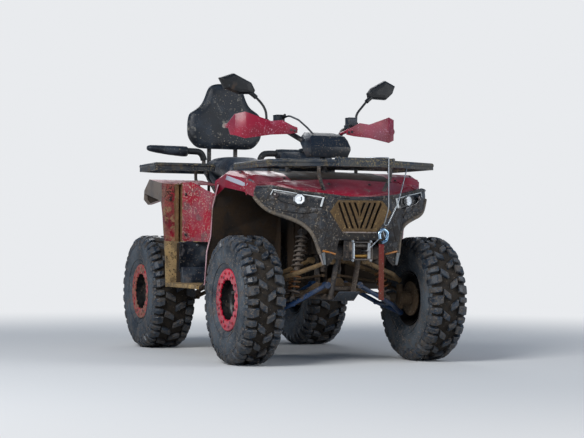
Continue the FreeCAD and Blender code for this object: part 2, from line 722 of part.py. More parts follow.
def front_bodywork():
    """Red nose and both front fenders as one thin shell, with the arch's rear edge strip."""
    wall = PANEL_WALL
    outside = [nose_section(*station, 0, 0) for station in NOSE_STATIONS]
    inside = []
    last = len(NOSE_STATIONS) - 1
    for index, (y, share, middle, edge, low) in enumerate(NOSE_STATIONS):
        slants = []
        for other in (max(index - 1, 0), min(index + 1, last)):
            if other != index:
                run = NOSE_STATIONS[other][0] - y
                rise = BODY_HALF_WIDTH * (NOSE_STATIONS[other][1] - share)
                slants.append(math.hypot(run, rise) / abs(run))
        inward = wall * max(slants)
        shift = wall if index == 0 else (1.0 if index == last else 0.0)
        inside.append(nose_section(y + shift, share, middle, edge, low - 30, inward, wall))
    shell = loft(outside).cut(loft(inside))
    strip = side_prism(sheet_outline(FLARE_EDGE[::-1], 16), BODY_HALF_WIDTH - EDGE_DEPTH, BODY_HALF_WIDTH)
    top = at(*COLUMN_TOP)
    opening = rod(top - column_axis() * 300, top, COLUMN_RADIUS + 12)
    return join(shell, *pair(strip)).cut(rack_posts(FACE_GAP) + [opening])


EDGE_DEPTH = 14.0
WELL_INNER_X = 196.0
WELL_REAR_Y = 1104.0
FLOOR_THICK = 14.0


def footwell():
    """Left footwell: toe board, floor, heel wall and inner side."""
    outer = BODY_HALF_WIDTH - EDGE_DEPTH - FACE_GAP
    toe = side_prism(sheet_outline(FLARE_EDGE[::-1], PANEL_WALL), WELL_INNER_X, outer)
    floor_path = [(543, FLOOR_Z), (WELL_REAR_Y, FLOOR_Z + FLOOR_THICK)]
    floor = side_prism(sheet_outline(floor_path, FLOOR_THICK), WELL_INNER_X, outer)
    lip = block(outer - 1, BODY_HALF_WIDTH, 580, WELL_REAR_Y, FLOOR_Z + 4, FLOOR_Z + 26)
    heel_path = [(WELL_REAR_Y, FLOOR_Z + FLOOR_THICK), (WELL_REAR_Y - 6, 640)]
    heel = side_prism(sheet_outline(heel_path, PANEL_WALL), WELL_INNER_X, BODY_HALF_WIDTH - 60)
    inner = side_prism([(300, 420), (300, 800), (WELL_REAR_Y - 10, 850), (WELL_REAR_Y - 4, 400),
                        (540, FLOOR_Z + 4)], WELL_INNER_X, WELL_INNER_X + PANEL_WALL)
    stays = []
    for y in (620, 1040):
        stays.append(block(SIDE_PANEL_X, 300, y - 12, y + 12, FRAME_LOW_Z - 8, FLOOR_Z + FLOOR_THICK))
    stays.append(rod(at(FRAME_HALF_WIDTH + STAY_TUBE + FACE_GAP, 400, 700), at(WELL_INNER_X + 2, 400, 700), 9))
    return join(toe, floor, lip, heel, inner, *stays)


REAR_TOP = [(1126, 992), (1250, 1004), (1445, 1028), (1544, 962), (1552, 905)]
REAR_FLANGE = [(1126, 992), (1146, 880), (WELL_REAR_Y + FACE_GAP, FLOOR_Z + 2)]
FLANGE_INNER_X = 513.0
FLARE_RECESS = 22.0
SIDE_PLAN = [(FLANGE_INNER_X, 1130), (FLANGE_INNER_X - 2, 1166), (490, 1166), (486, 1122), (446, 1116),
             (400, 1040), (334, 880), (334, 780)]
SIDE_FRONT = [(760, 648), (760, 880), (1000, 955), (1100, 1006), (1150, 996), (1180, 982), (1180, 648)]
BULGE_PLAN = [(440, 1104), (394, 1028), (328, 868), (328, 800)]
BULGE_FRONT = [(790, 662), (790, 872), (1020, 938), (1110, 890), (1110, 662)]


def rear_fender():
    """Left rear fender: top, flange with its channel, recessed flare and the red side panel."""
    outer = BODY_HALF_WIDTH
    top = side_prism(sheet_outline(REAR_TOP, -PANEL_WALL), 246, outer)
    flange = side_prism(sheet_outline(REAR_FLANGE, PANEL_WALL), FLANGE_INNER_X - PANEL_WALL, outer)
    front = REAR_FLANGE[::-1]
    side = REAR_TOP[:4] + [(1540, 944), (1224, 892), (1196, 820), (1140, 560), (front[0][0] + 24, front[0][1])]
    cheek = side_prism(side + front[:2], outer - PANEL_WALL, outer)
    end = [(1550, 909), (1470, 877), (1212, 901)]
    recess = side_prism(REAR_TOP + end[1:], outer - FLARE_RECESS - PANEL_WALL, outer - FLARE_RECESS)
    lip = side_prism(sheet_outline(end, PANEL_WALL), outer - FLARE_RECESS - 1, outer)
    wall = top_prism(sheet_outline(SIDE_PLAN, PANEL_WALL), 640, 1020)
    panel = wall.common(side_prism(SIDE_FRONT, 300, outer))
    swell = top_prism(sheet_outline(BULGE_PLAN, -3.0 * PANEL_WALL), 640, 1020)
    bulge = swell.common(side_prism(BULGE_FRONT, 300, outer))
    return join(top, flange, cheek, recess, lip, panel, bulge)


SEAT_LINE = [(480, 985), (600, 920), (1150, 930), (1250, 1000), (1262, 1010), (1500, 1040), (1715, 1115)]


CONSOLE_TOP = [(312, 1060), (340, 1120), (400, 1158), (450, 1150), (480, 1060), (480, 985)]


def side_panels():
    """Dark centre body: console, seat shelf and the panels under the seats, as one open shell."""
    x = SIDE_PANEL_X
    low = [(1715, 1080), (1400, 915), (1180, 880), (700, 838), (312, 830)]
    top = CONSOLE_TOP + SEAT_LINE[1:]
    outer = side_prism(top + low, -x - PANEL_WALL, x + PANEL_WALL)
    under = sheet_outline(top, -PANEL_WALL)[len(top):][::-1]
    ends = [(1711, 1108), (1711, 700), (316, 700), (316, 1056)]
    hollow = side_prism(under[1:-1] + ends, -x, x)
    notch = block(x - 1, x + PANEL_WALL + 1, 1434, 1480, 850, 972)
    return outer.cut(hollow).cut(pair(notch))


def seat(top, start, end, half_width):
    """A seat pad: its top line above the part of the seat line from start to end."""
    bottom = [(y, z + FACE_GAP) for y, z in SEAT_LINE[start:end]]
    return side_prism(top + bottom[::-1], -half_width, half_width)


SEAT_FRONT_TOP = [(480.5, 1085), (540, 1030), (640, 1000), (900, 988), (1130, 1012), (1226, 1070), (1250, 1100)]
SEAT_REAR_TOP = [(1262, 1120), (1290, 1160), (1350, 1180), (1600, 1182), (1690, 1178), (1715, 1160)]


BACKREST = symmetric([(60, 1659), (118, 1640), (150, 1582), (180, 1512), (232, 1446), (245, 1400),
                      (243, 1335), (218, 1290), (150, 1247), (100, 1239)])


BACK_PAD_REAR = 1742.0
PAD_THICK = 60.0
GRAB_Y = 1573.0
GRAB_Z = 1217.0
GRAB_X = 300.0
BASE_PLATE = 8.0


def backrest_pads():
    """Shield-shaped back pad and the two padded grab arms."""
    back = front_prism(BACKREST, BACK_PAD_REAR - PAD_THICK, BACK_PAD_REAR)
    arm = loft([[at(GRAB_X, 1545, 1190), at(GRAB_X, 1600, 1190), at(GRAB_X, 1600, 1246),
                 at(GRAB_X, 1545, 1246)],
                [at(550, 1582, 1212), at(550, 1632, 1212), at(550, 1632, 1246), at(550, 1582, 1246)]])
    return [back] + pair(arm)


def backrest_frame():
    """Base plate on the rack, legs of the back pad and the bent tubes that carry the grab arms."""
    base_z = REAR_RACK_Z + RACK_TUBE + FACE_GAP
    rear = BACK_PAD_REAR + FACE_GAP
    plate = block(-RACK_INNER_X - 8, RACK_INNER_X + 8, rear - 16, rear + 58, base_z, base_z + BASE_PLATE)
    pieces = [plate]
    for side in (1, -1):
        inner, outer = sorted((side * 78, side * 102))
        pieces.append(block(inner, outer, rear, rear + 14, base_z, 1500))
    pieces.append(rod(at(-102, rear + 7, 1250), at(102, rear + 7, 1250), 6))
    arm = bent_tube([at(GRAB_X - FACE_GAP, GRAB_Y, GRAB_Z), at(RACK_INNER_X + 28, GRAB_Y, GRAB_Z),
                     at(RACK_INNER_X, GRAB_Y, GRAB_Z - 42), at(RACK_INNER_X, GRAB_Y, base_z)], 12, 24)
    return [join(*pieces)] + pair(arm)


def rack(outline, z, slats, tube, skirted, skirt):
    """A rack deck: bent rim with cross slats, and a skirt under the first skirted runs of the rim."""
    pieces = []
    corners = [at(x, y, z) for x, y in outline]
    runs = list(zip(corners, corners[1:] + corners[:1]))
    for start, end in runs:
        pieces.append(rod(start, end, tube))
        pieces.append(ball(start, tube))
    for start, end in runs[:skirted]:
        across = (end - start).cross(AXIS_Z).normalize() * (tube - 4.0)
        wall = polygon([start + across, end + across, end - across, start - across])
        pieces.append(wall.extrude(AXIS_Z * -skirt))
        pieces.append(rod(end, end - AXIS_Z * skirt, tube - 3.0))
    for (x0, y0), (x1, y1) in slats:
        pieces.append(rod(at(x0, y0, z), at(x1, y1, z), SLAT_RADIUS))
    return pieces


def front_rack():
    """Front rack with a tall front bar."""
    side = [(148, -364), (480, -199), (470, 300)]
    outline = side[::-1] + [(-x, y) for x, y in side]
    slats = [((x, -360), (x, 300)) for x in (-120, -40, 40, 120)]
    slats += [((x, -260), (x, 300)) for x in (-300, -RACK_SLAT_X, RACK_SLAT_X, 300)]
    slats += [((x, -220), (x, 300)) for x in (-400, 400)]
    slats += [((-478, y), (478, y)) for y in (-150, 60)]
    bar = top_prism([(-152, -RACK_FRONT), (152, -RACK_FRONT), (152, -350), (-152, -350)],
                    FRONT_RACK_Z - 25, FRONT_RACK_Z + RACK_BAR_RISE)
    return join(bar, *rack(outline, FRONT_RACK_Z, slats, RACK_TUBE, 5, 24.0))


RACK_BAR_RISE = 22.0


def rear_rack():
    """Rear rack: a deck on each side of the passenger seat, joined behind it, in a tall rim."""
    inner = RACK_INNER_X
    side = [(inner, 1400), (560, 1400), (540, 1760), (420, 1850)]
    outline = side + [(-x, y) for x, y in side[::-1]] + [(-inner, 1790), (inner, 1790)]
    slats = [((side * x, 1400), (side * x, 1848)) for x in (270, 350) for side in (1, -1)]
    slats += [((side * 450, 1400), (side * 450, 1826)) for side in (1, -1)]
    slats += [((side * inner, 1600), (side * 550, 1600)) for side in (1, -1)]
    slats += [((x, 1790), (x, 1850)) for x in (-120, 0, 120)]
    return join(*rack(outline, REAR_RACK_Z, slats, RACK_TUBE, 7, 34.0))


CLADDING_WALL = 5.0
CLADDING_PLAN = symmetric([(512, -70), (440, -160), (290, -232), (226, -306), (180, -318), (101, -300)])
CLADDING_FRONT = symmetric([(120, 664), (138, 606), (166, 552), (188, 531), (208, 531), (226, 580),
                            (246, 660), (276, 722), (330, 762), (430, 796), (492, 850), (512, 905),
                            (500, 948), (440, 950), (330, 925), (214, 908), (60, 893)])
LAMP_OPENING = [(212, 829), (310, 836), (400, 862), (450, 905), (436, 932), (320, 912), (204, 889)]
LAMP_CENTRE = (287.0, -236.0, 874.0)
LENS_RADIUS = 27.0
GRILLE_OUTLINE = symmetric([(101, 707), (180, 812), (129, 874)])


def cladding_wall(depth, gap):
    """The fascia's curved wall in plan, starting a gap behind its front face."""
    outline = sheet_outline(CLADDING_PLAN[::-1], gap + depth)
    front = sheet_outline(CLADDING_PLAN[::-1], gap) if gap > 0 else None
    wall = top_prism(outline, 520, 960)
    return wall.cut(top_prism(front, 519, 961)) if front else wall


def front_cladding():
    """Dark fascia between the lamps with the legs that reach down to the winch."""
    shape = cladding_wall(CLADDING_WALL, 0).common(front_prism(CLADDING_FRONT, -400, 50))
    openings = [front_prism(GRILLE_OUTLINE, -400, 50)] + pair(front_prism(LAMP_OPENING, -400, 50))
    return shape.cut(openings)


def grille():
    """Six-sided grille with slanted slots that meet in a V."""
    outline = inset(GRILLE_OUTLINE, FACE_GAP)
    plate = cladding_wall(14, 0).common(front_prism(outline, -400, -200))
    keep = front_prism([(4, 722), (96, 722), (160, 812), (122, 862), (4, 862)], -400, -200)
    slots = []
    for step in range(4):
        offset = 22 + step * 32
        slot = front_prism([(offset, 862), (offset + 13, 862), (offset - 42, 725), (offset - 55, 725)],
                           -400, -200)
        slots += pair(slot.common(keep))
    return plate.cut(slots)


def headlight():
    """Left lamp: a housing inside the fascia's opening with a round lens."""
    outline = inset(LAMP_OPENING, FACE_GAP)
    body = cladding_wall(24, 6).common(front_prism(outline, -400, 50))
    x, y, z = LAMP_CENTRE
    lens = rod(at(x, y - 4, z), at(x, y + 30, z), LENS_RADIUS).common(front_prism(outline, -400, 50))
    return join(body, lens)


def winch():
    """Winch drum and motor with the roller fairlead in front."""
    motor_y, motor_z, motor_radius = -226, 600, 38
    motor = rod(at(-140, motor_y, motor_z), at(140, motor_y, motor_z), motor_radius)
    plate = block(-84, 84, -284, -278, 556, 662)
    window = block(-34, 34, -290, -270, 590, 626)
    stays = pair(block(56, 70, -279, motor_y, 580, 630))
    top = BUMPER_Z - CROSS_TUBE - FACE_GAP
    saddle_half = END_BAY_X - FRAME_TUBE - 1
    saddle = block(-saddle_half, saddle_half, motor_y - 6, -184, motor_z + 20, top)
    rollers = [rod(at(x, -320, 563), at(x, -320, 653), 9) for x in (-46, 46)]
    rollers += [rod(at(-60, -306, z), at(60, -306, z), 9) for z in (580, 636)]
    cheeks = [block(-62, 62, -331, -283, z, z + 5) for z in (561, 650)]
    ends = pair(block(58, 62, -331, -283, 562, 652))
    return join(plate.cut(window), motor, saddle, *(stays + rollers + cheeks + ends))


def winch_rope():
    """Taut steel rope: fairlead to hook, and the sling that hangs the hook from the rack."""
    lead = bent_tube([at(28, -263.8, 608), at(28, -336, 608), at(97, -345, 676)], ROPE_RADIUS, 10)
    rest = ROPE_RADIUS + FACE_GAP
    bar_top = FRONT_RACK_Z + RACK_BAR_RISE + rest
    bar_front = -RACK_FRONT - rest
    sling = bent_tube([at(10, -330, bar_top), at(70, -372, bar_top), at(124, bar_front, bar_top),
                       at(126, bar_front, 830), at(118, -345, HOOK_TOP), at(146, -345, HOOK_TOP + 12),
                       at(203, -345, 860), at(300, -262, FRONT_RACK_Z - RACK_TUBE - ROPE_RADIUS)],
                      ROPE_RADIUS, [60, rest, 90, 12, 12, 90])
    return [piece.cut(winch_hook()) for piece in (lead, sling)]


HOOK_RADIUS = 9.0
HOOK_TOP = 737.0
HOOK_LOW = 650.0


def winch_hook():
    """Forged hook hanging in the sling."""
    top = HOOK_TOP - HOOK_RADIUS - ROPE_RADIUS + 0.6
    return bent_tube([at(97, -345, 672), at(92, -345, 700), at(114, -345, top), at(142, -345, 706),
                      at(136, -345, 662), at(108, -345, HOOK_LOW)], HOOK_RADIUS, 14)


def hook_strap():
    """Red webbing strap hanging straight from the hook."""
    return block(92, 122, -346.5, -343.5, 349, HOOK_LOW - HOOK_RADIUS + 2).cut(winch_hook())


def tail_lights():
    """Two rear lamps on the rear fenders' back faces."""
    (y1, z1), (y0, z0) = REAR_TOP[-2], REAR_TOP[-1]
    slope = (y0 - y1) / (z1 - z0)
    high, low = z1 - 12, z0 + 8
    outline = [(y1 + slope * (z1 - high) + FACE_GAP, high), (y1 + slope * (z1 - low) + FACE_GAP, low),
               (y0 + 24, low), (y0 + 24, high)]
    return pair(side_prism(outline, 300, 420))


def exhaust():
    """Silencer on the right, behind the engine."""
    can = rod(at(-132, 1410, 690), at(-132, 1770, 716), 46)
    pipe = bent_tube([at(-70, 1100 + FACE_GAP, 520), at(-70, 1180, 520), at(-132, 1290, 660),
                      at(-132, 1412, 690)], 19, 50)
    return join(can, pipe)


def springs():
    """All four coil springs."""
    return [piece for low, high in SHOCKS for piece in pair(spring(low, high))]


def dampers():
    """All four shock absorbers."""
    return [piece for low, high in SHOCKS for piece in pair(damper(low, high))]


def nodes():
    """Every sub-part by name."""
    parts = {
        "frame": join(*(frame() + rack_posts(0.0) + [hitch()])),
        "engine_block": engine_block(),
        "skid_plate": skid_plate(),
        "differentials": group(differentials()),
        "front_lower_arms": group(pair(front_lower_arm())),
        "front_upper_arms": group(pair(front_upper_arm())),
        "rear_arms": group(pair(rear_arm(True)) + pair(rear_arm(False))),
        "rear_hubs": group(pair(rear_hub())),
        "springs": group(springs()),
        "dampers": group(dampers()),
        "half_shafts": group(half_shafts()),
        "knuckle_left": knuckle(),
        "knuckle_right": mirrored(knuckle()),
        "tie_rod_left": tie_rod(),
        "tie_rod_right": mirrored(tie_rod()),
        "handlebar": handlebar(),
        "instrument_pod": instrument_pod(),
        "hand_guards": group(pair(hand_guard())),
        "mirrors": group(pair(mirror())),
        "controls": group(controls()),
        "front_cladding": front_cladding(),
        "grille": grille(),
        "headlights": group(pair(headlight())),
        "front_bodywork": front_bodywork(),
        "footwells": group(pair(footwell())),
        "rear_fenders": group(pair(rear_fender())),
        "side_panels": side_panels(),
        "seat_front": seat(SEAT_FRONT_TOP, 0, 4, 150),
        "seat_rear": seat(SEAT_REAR_TOP, 4, 7, 150),
        "backrest_pads": group(backrest_pads()),
        "backrest_frame": group(backrest_frame()),
        "front_rack": front_rack(),
        "rear_rack": rear_rack(),
        "winch": winch(),
        "winch_rope": group(winch_rope()),
        "winch_hook": winch_hook(),
        "hook_strap": hook_strap(),
        "tail_lights": group(tail_lights()),
        "exhaust": exhaust(),
    }
    for axle, width in (("front", FRONT_TYRE_WIDTH), ("rear", REAR_TYRE_WIDTH)):
        for name, side in (("left", 1), ("right", -1)):
            centre = wheel_centre(axle, side)
            parts[f"tyre_{axle}_{name}"] = tyre(centre, width)
            parts[f"rim_{axle}_{name}"] = rim(centre, width, side)
    return parts


def main():
    """Write one STEP file for each sub-part."""
    os.makedirs("parts", exist_ok=True)
    for name, shape in nodes().items():
        assert shape.isValid(), name
        shape.exportStep(f"parts/{name}.step")
        print(name, len(shape.Solids), round(shape.Volume / 1e6, 3))


main()
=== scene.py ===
"""Quad bike: the looks of every piece, built in one frame with its solids.

Metres. +X is the machine's left, its front faces -Y, +Z is up. Lengths in the classes are
millimetres, and y is counted from the front axle, as in the part's source.
"""
from __future__ import annotations

import logging
import math
from dataclasses import dataclass
from enum import Enum
from typing import Callable, Iterable, Sequence

import bmesh
import bpy
from mathutils import Matrix, Vector


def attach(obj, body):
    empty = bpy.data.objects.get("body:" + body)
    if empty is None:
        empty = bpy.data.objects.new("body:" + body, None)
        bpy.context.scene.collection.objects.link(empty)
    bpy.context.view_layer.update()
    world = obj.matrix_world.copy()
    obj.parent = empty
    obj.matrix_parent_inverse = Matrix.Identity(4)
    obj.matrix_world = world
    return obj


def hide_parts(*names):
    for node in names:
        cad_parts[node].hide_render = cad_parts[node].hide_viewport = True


LOG = logging.getLogger("quad_bike")
MM = 0.001
FRONT_AXLE = -753.5
WHEELBASE = 1499.0
# Width of the photograph in pixels and of the camera's sensor in mm
PHOTO_WIDTH, SENSOR_WIDTH = 584.0, 36.0
# Heights in metres between which dust and mud thin out
GRIME_LOW, GRIME_HIGH = 0.25, 1.1
DIRT_ROUGHNESS = 0.88
# Radians that the wave texture counts as one wave
WAVE = 6.2832
CRUST_MM = 1.2
# In degrees: an edge of the frame's solids is sharp when its faces turn by more than this
SHARP_ANGLE = 32.0
# Points closer than this, in metres, are one: in new pieces and in the frame's faceted solids
WELD_DISTANCE, FACET_WELD = 1e-6, 2e-5
FLAT_ANGLE = 1.0
CLOTH_FRAMES = 20
# A cushion with fewer faces than this is subdivided once more
FINE_ENOUGH = 21000

Point = tuple[float, float, float]
Pair = tuple[float, float]
Station = tuple[float, float, float, float]
Rgba = tuple[float, float, float, float]
Piece = bpy.types.Object
Tree = bpy.types.NodeTree
Socket = bpy.types.NodeSocket


class Side(Enum):
    """The machine's two sides, with their sign along X."""

    LEFT = 1
    RIGHT = -1

    @property
    def tag(self) -> str:
        """The side as it stands in names of pieces and bodies."""
        return self.name.lower()


class Axle(Enum):
    """The two axles, with their distance behind the front one."""

    FRONT = 0.0
    REAR = WHEELBASE

    @property
    def tag(self) -> str:
        """The axle as it stands in names of pieces and bodies."""
        return self.name.lower()


# ---- small tools


def at(x: float, y: float, z: float) -> Vector:
    """A place in metres from millimetres, its y counted from the front axle."""
    return Vector((x, FRONT_AXLE + y, z)) * MM


def linear(hex_colour: str) -> Rgba:
    """Turn an sRGB hex colour into Blender's linear values.

    Args:
        hex_colour: Six hex digits after a hash sign.

    Returns:
        Linear red, green, blue and an alpha of one.
    """
    parts = [int(hex_colour[i:i + 2], 16) / 255.0 for i in (1, 3, 5)]
    red, green, blue = (c / 12.92 if c <= 0.04045 else ((c + 0.055) / 1.055) ** 2.4 for c in parts)
    return red, green, blue, 1.0


def node(tree: Tree, kind: str, sockets: dict | None = None, **settings: object) -> bpy.types.Node:
    """Add a node with its settings, values and links.

    Args:
        tree: The tree that gets the node.
        kind: The node's type name.
        sockets: Input name or number, and a value or the output socket to link.
        **settings: The node's own attributes.

    Returns:
        The new node.
    """
    made = tree.nodes.new(kind)
    for name, value in settings.items():
        setattr(made, name, value)
    for key, value in (sockets or {}).items():
        if isinstance(value, Socket):
            tree.links.new(value, made.inputs[key])
        else:
            made.inputs[key].default_value = value
    return made


def linked(name: str, data: bpy.types.ID) -> Piece:
    """Make an object for a mesh, a curve, a camera or a lamp and link it to the scene."""
    made = bpy.data.objects.new(name, data)
    bpy.context.scene.collection.objects.link(made)
    return made


def new_mesh(name: str, points: Iterable[Vector], faces: Iterable[Sequence[int]],
             smooth: bool = True) -> Piece:
    """Make an object out of points and faces, its normals pointing outwards.

    Args:
        name: The piece's name.
        points: Places in metres.
        faces: Point numbers round each face.
        smooth: Whether its faces shade smoothly.

    Returns:
        The object, linked to the scene.
    """
    mesh = bpy.data.meshes.new(name)
    mesh.from_pydata([tuple(p) for p in points], [], [tuple(f) for f in faces])
    made = linked(name, mesh)
    tidy(made, smooth)
    return made


def tidy(piece: Piece, smooth: bool = True) -> None:
    """Merge doubles, point the faces outwards and set the shading of a mesh."""
    shell = bmesh.new()
    shell.from_mesh(piece.data)
    bmesh.ops.remove_doubles(shell, verts=shell.verts, dist=WELD_DISTANCE)
    bmesh.ops.recalc_face_normals(shell, faces=shell.faces)
    for face in shell.faces:
        face.smooth = smooth
    shell.to_mesh(piece.data)
    shell.free()


def baked(piece: Piece) -> Piece:
    """Turn an object's modifiers, curve or text into a plain mesh of the same name.

    Args:
        piece: The object with live modifiers; it is removed.

    Returns:
        A new object at the origin with the finished mesh.
    """
    bpy.context.view_layer.update()
    name = piece.name
    graph = bpy.context.evaluated_depsgraph_get()
    mesh = bpy.data.meshes.new_from_object(piece.evaluated_get(graph))
    mesh.transform(piece.matrix_world)
    bpy.data.objects.remove(piece)
    mesh.name = name
    return linked(name, mesh)


def merged(name: str, pieces: Sequence[Piece]) -> Piece:
    """Join several mesh objects, with their materials, into one of a new name."""
    shell = bmesh.new()
    slots: list[bpy.types.Material] = []
    for piece in pieces:
        count = len(shell.faces)
        shell.from_mesh(piece.data)
        shell.faces.ensure_lookup_table()
        places = []
        for material in piece.data.materials:
            if material not in slots:
                slots.append(material)
            places.append(slots.index(material))
        for face in shell.faces[count:]:
            face.material_index = places[face.material_index] if places else 0
        bpy.data.objects.remove(piece)
    mesh = bpy.data.meshes.new(name)
    shell.to_mesh(mesh)
    shell.free()
    for material in slots:
        mesh.materials.append(material)
    return linked(name, mesh)


def mirrored(piece: Piece, name: str) -> Piece:
    """Copy a piece to the machine's other side, its faces still pointing outwards."""
    mesh = piece.data.copy()
    mesh.name = name
    mesh.transform(Matrix.Scale(-1, 4, Vector((1, 0, 0))))
    mesh.flip_normals()
    return linked(name, mesh)


def with_bevel(piece: Piece, width: float, segments: int = 2, angle: float = 30.0) -> Piece:
    """Round a piece's edges by a width in mm and bake the result."""
    bevel = piece.modifiers.new("edge", "BEVEL")
    bevel.width = width * MM
    bevel.segments = segments
    bevel.limit_method = "ANGLE"
    bevel.angle_limit = math.radians(angle)
    bevel.harden_normals = False
    return baked(piece)


def subdivided(piece: Piece) -> Piece:
    """Smooth a cage with one level of a subdivision surface and bake it."""
    smooth = piece.modifiers.new("smooth", "SUBSURF")
    smooth.levels = smooth.render_levels = 1
    return baked(piece)


def prism(name: str, outline: Sequence[Pair], low: float, high: float, plane: str) -> Piece:
    """Push a flat outline through a depth.

    Args:
        name: The piece's name.
        outline: Pairs in mm: (y, z) for plane "side", (x, z) for "front", (x, y) for "top".
        low: Where the depth starts, in mm.
        high: Where it ends.
        plane: The view in which the outline lies.

    Returns:
        The closed solid as a mesh object.
    """
    place: dict[str, Callable[[float, float, float], Vector]] = {
        "side": lambda a, b, d: at(d, a, b),
        "front": lambda a, b, d: at(a, d, b),
        "top": lambda a, b, d: at(a, b, d),
    }
    count = len(outline)
    points = [place[plane](a, b, d) for d in (low, high) for a, b in outline]
    faces = [list(range(count)), list(range(2 * count - 1, count - 1, -1))]
    faces += [[i, (i + 1) % count, count + (i + 1) % count, count + i] for i in range(count)]
    return new_mesh(name, points, faces, smooth=False)


def lofted(name: str, sections: Sequence[Sequence[Vector]], closed: bool = True, ends: bool = True,
           smooth: bool = True) -> Piece:
    """Join cross-sections of the same number of points with quads.

    Args:
        name: The piece's name.
        sections: One list of places for each cross-section.
        closed: Whether each cross-section is a loop.
        ends: Whether the first and last loops get a face.
        smooth: Whether the faces shade smoothly.

    Returns:
        The mesh object.
    """
    count = len(sections[0])
    points = [p for section in sections for p in section]
    faces: list[list[int]] = []
    for row in range(len(sections) - 1):
        for i in range(count if closed else count - 1):
            j = (i + 1) % count
            faces.append([row * count + i, row * count + j, (row + 1) * count + j, (row + 1) * count + i])
    if closed and ends:
        faces.append(list(range(count)))
        faces.append([(len(sections) - 1) * count + i for i in reversed(range(count))])
    return new_mesh(name, points, faces, smooth)


def turned(name: str, profile: Sequence[Pair], steps: int = 64, closed: bool = True) -> Piece:
    """Turn (x, radius) pairs in mm about the X axis through the origin."""
    sections = []
    for step in range(steps):
        angle = 2 * math.pi * step / steps
        sections.append([Vector((x, r * math.sin(angle), r * math.cos(angle))) * MM for x, r in profile])
    sections.append(sections[0])
    return lofted(name, sections, closed=closed, ends=False)


def bar(name: str, points: Sequence[Vector], radius: float, round_corners: bool = True,
        steps: int = 5) -> Piece:
    """A round bar of a radius in mm through places in metres, as a mesh.

    Args:
        name: The piece's name.
        points: Control points of its centre line.
        radius: The bar's radius in mm.
        round_corners: Whether the line is a smooth spline or straight runs.
        steps: Resolution of the round section.

    Returns:
        The mesh object.
    """
    curve = bpy.data.curves.new(name, "CURVE")
    curve.dimensions = "3D"
    curve.bevel_depth = radius * MM
    curve.bevel_resolution = steps
    curve.use_fill_caps = True
    spline = curve.splines.new("NURBS" if round_corners else "POLY")
    spline.points.add(len(points) - 1)
    for target, place in zip(spline.points, points):
        target.co = (*place, 1.0)
    if round_corners:
        spline.order_u = 3
        spline.use_endpoint_u = True
        spline.resolution_u = 8
    piece = baked(linked(name, curve))
    for polygon in piece.data.polygons:
        polygon.use_smooth = True
    return piece


def softened(source: str, name: str, width: float) -> Piece:
    """Copy a solid of the frame and round its sharp edges.

    Args:
        source: The node to copy and stand for.
        name: The new piece's name.
        width: Width of the rounding in mm.

    Returns:
        The new piece, which replaces the node.
    """
    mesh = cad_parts[source].data.copy()
    mesh.name = name
    mesh.materials.clear()
    shell = bmesh.new()
    shell.from_mesh(mesh)
    bmesh.ops.remove_doubles(shell, verts=shell.verts, dist=FACET_WELD)
    bmesh.ops.dissolve_limit(shell, angle_limit=math.radians(FLAT_ANGLE), verts=shell.verts,
                             edges=shell.edges)
    shell.to_mesh(mesh)
    shell.free()
    piece = with_bevel(linked(name, mesh), width, 2, SHARP_ANGLE)
    for polygon in piece.data.polygons:
        polygon.use_smooth = True
    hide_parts(source)
    return piece


# ---- finishes


class Pattern(Enum):
    """How a surface was made, as far as it shows up close."""

    MOULDED = "fine spark-eroded texture of a moulding tool"
    LEATHER = "pebbled grain of seat vinyl"
    BRUSHED = "fine lines along the part"
    CAST = "coarse skin of a casting"
    WOVEN = "ribbed webbing"
    RUBBER = "soft speckle of moulded rubber"


@dataclass(frozen=True)
class Grime:
    """What the field has left on a surface, from the ground up.

    Shares run from 0, clean, to 1, covered; the first value holds at the ground and the second at
    rack height.
    """

    dust: str = "#766c64"
    dust_share: Pair = (0.4, 0.12)
    mud: str = "#4a3826"
    mud_share: Pair = (0.4, 0.06)
    patch_mm: float = 110.0
    fleck: str = "#8d7f70"
    fleck_share: float = 0.16
    fleck_mm: float = 5.0


CLEAN = Grime(dust_share=(0.15, 0.04), mud_share=(0.1, 0.0), fleck_share=0.1, fleck_mm=4.0)
DUSTY = Grime()
SPLASHED = Grime(dust_share=(0.6, 0.3), mud_share=(0.6, 0.18), fleck_share=0.25)
SPOTLESS = Grime(dust_share=(0.0, 0.0), mud_share=(0.0, 0.0), fleck_share=0.05)


def maths(tree: Tree, operation: str, *values: Socket | float) -> Socket:
    """Add a math node and return its result's socket."""
    return node(tree, "ShaderNodeMath", dict(enumerate(values)), operation=operation).outputs[0]


def ranged(tree: Tree, value: Socket, span: Pair, result: Pair = (0.0, 1.0)) -> Socket:
    """Map a value from one span to another and return the result's socket."""
    return node(tree, "ShaderNodeMapRange", dict(enumerate((value, *span, *result)))).outputs[0]


def noise(tree: Tree, coord: Socket, scale: float, detail: float, roughness: float = 0.5) -> Socket:
    """Add a noise texture and return its factor's socket."""
    return node(tree, "ShaderNodeTexNoise", {"Vector": coord, "Scale": scale, "Detail": detail,
                                             "Roughness": roughness}).outputs[0]


def blend(tree: Tree, mask: Socket, low: Socket | Rgba, high: Socket | Rgba) -> Socket:
    """Mix two colours or sockets by a mask and return the result's socket."""
    return node(tree, "ShaderNodeMix", {0: mask, 6: low, 7: high}, data_type="RGBA").outputs[2]


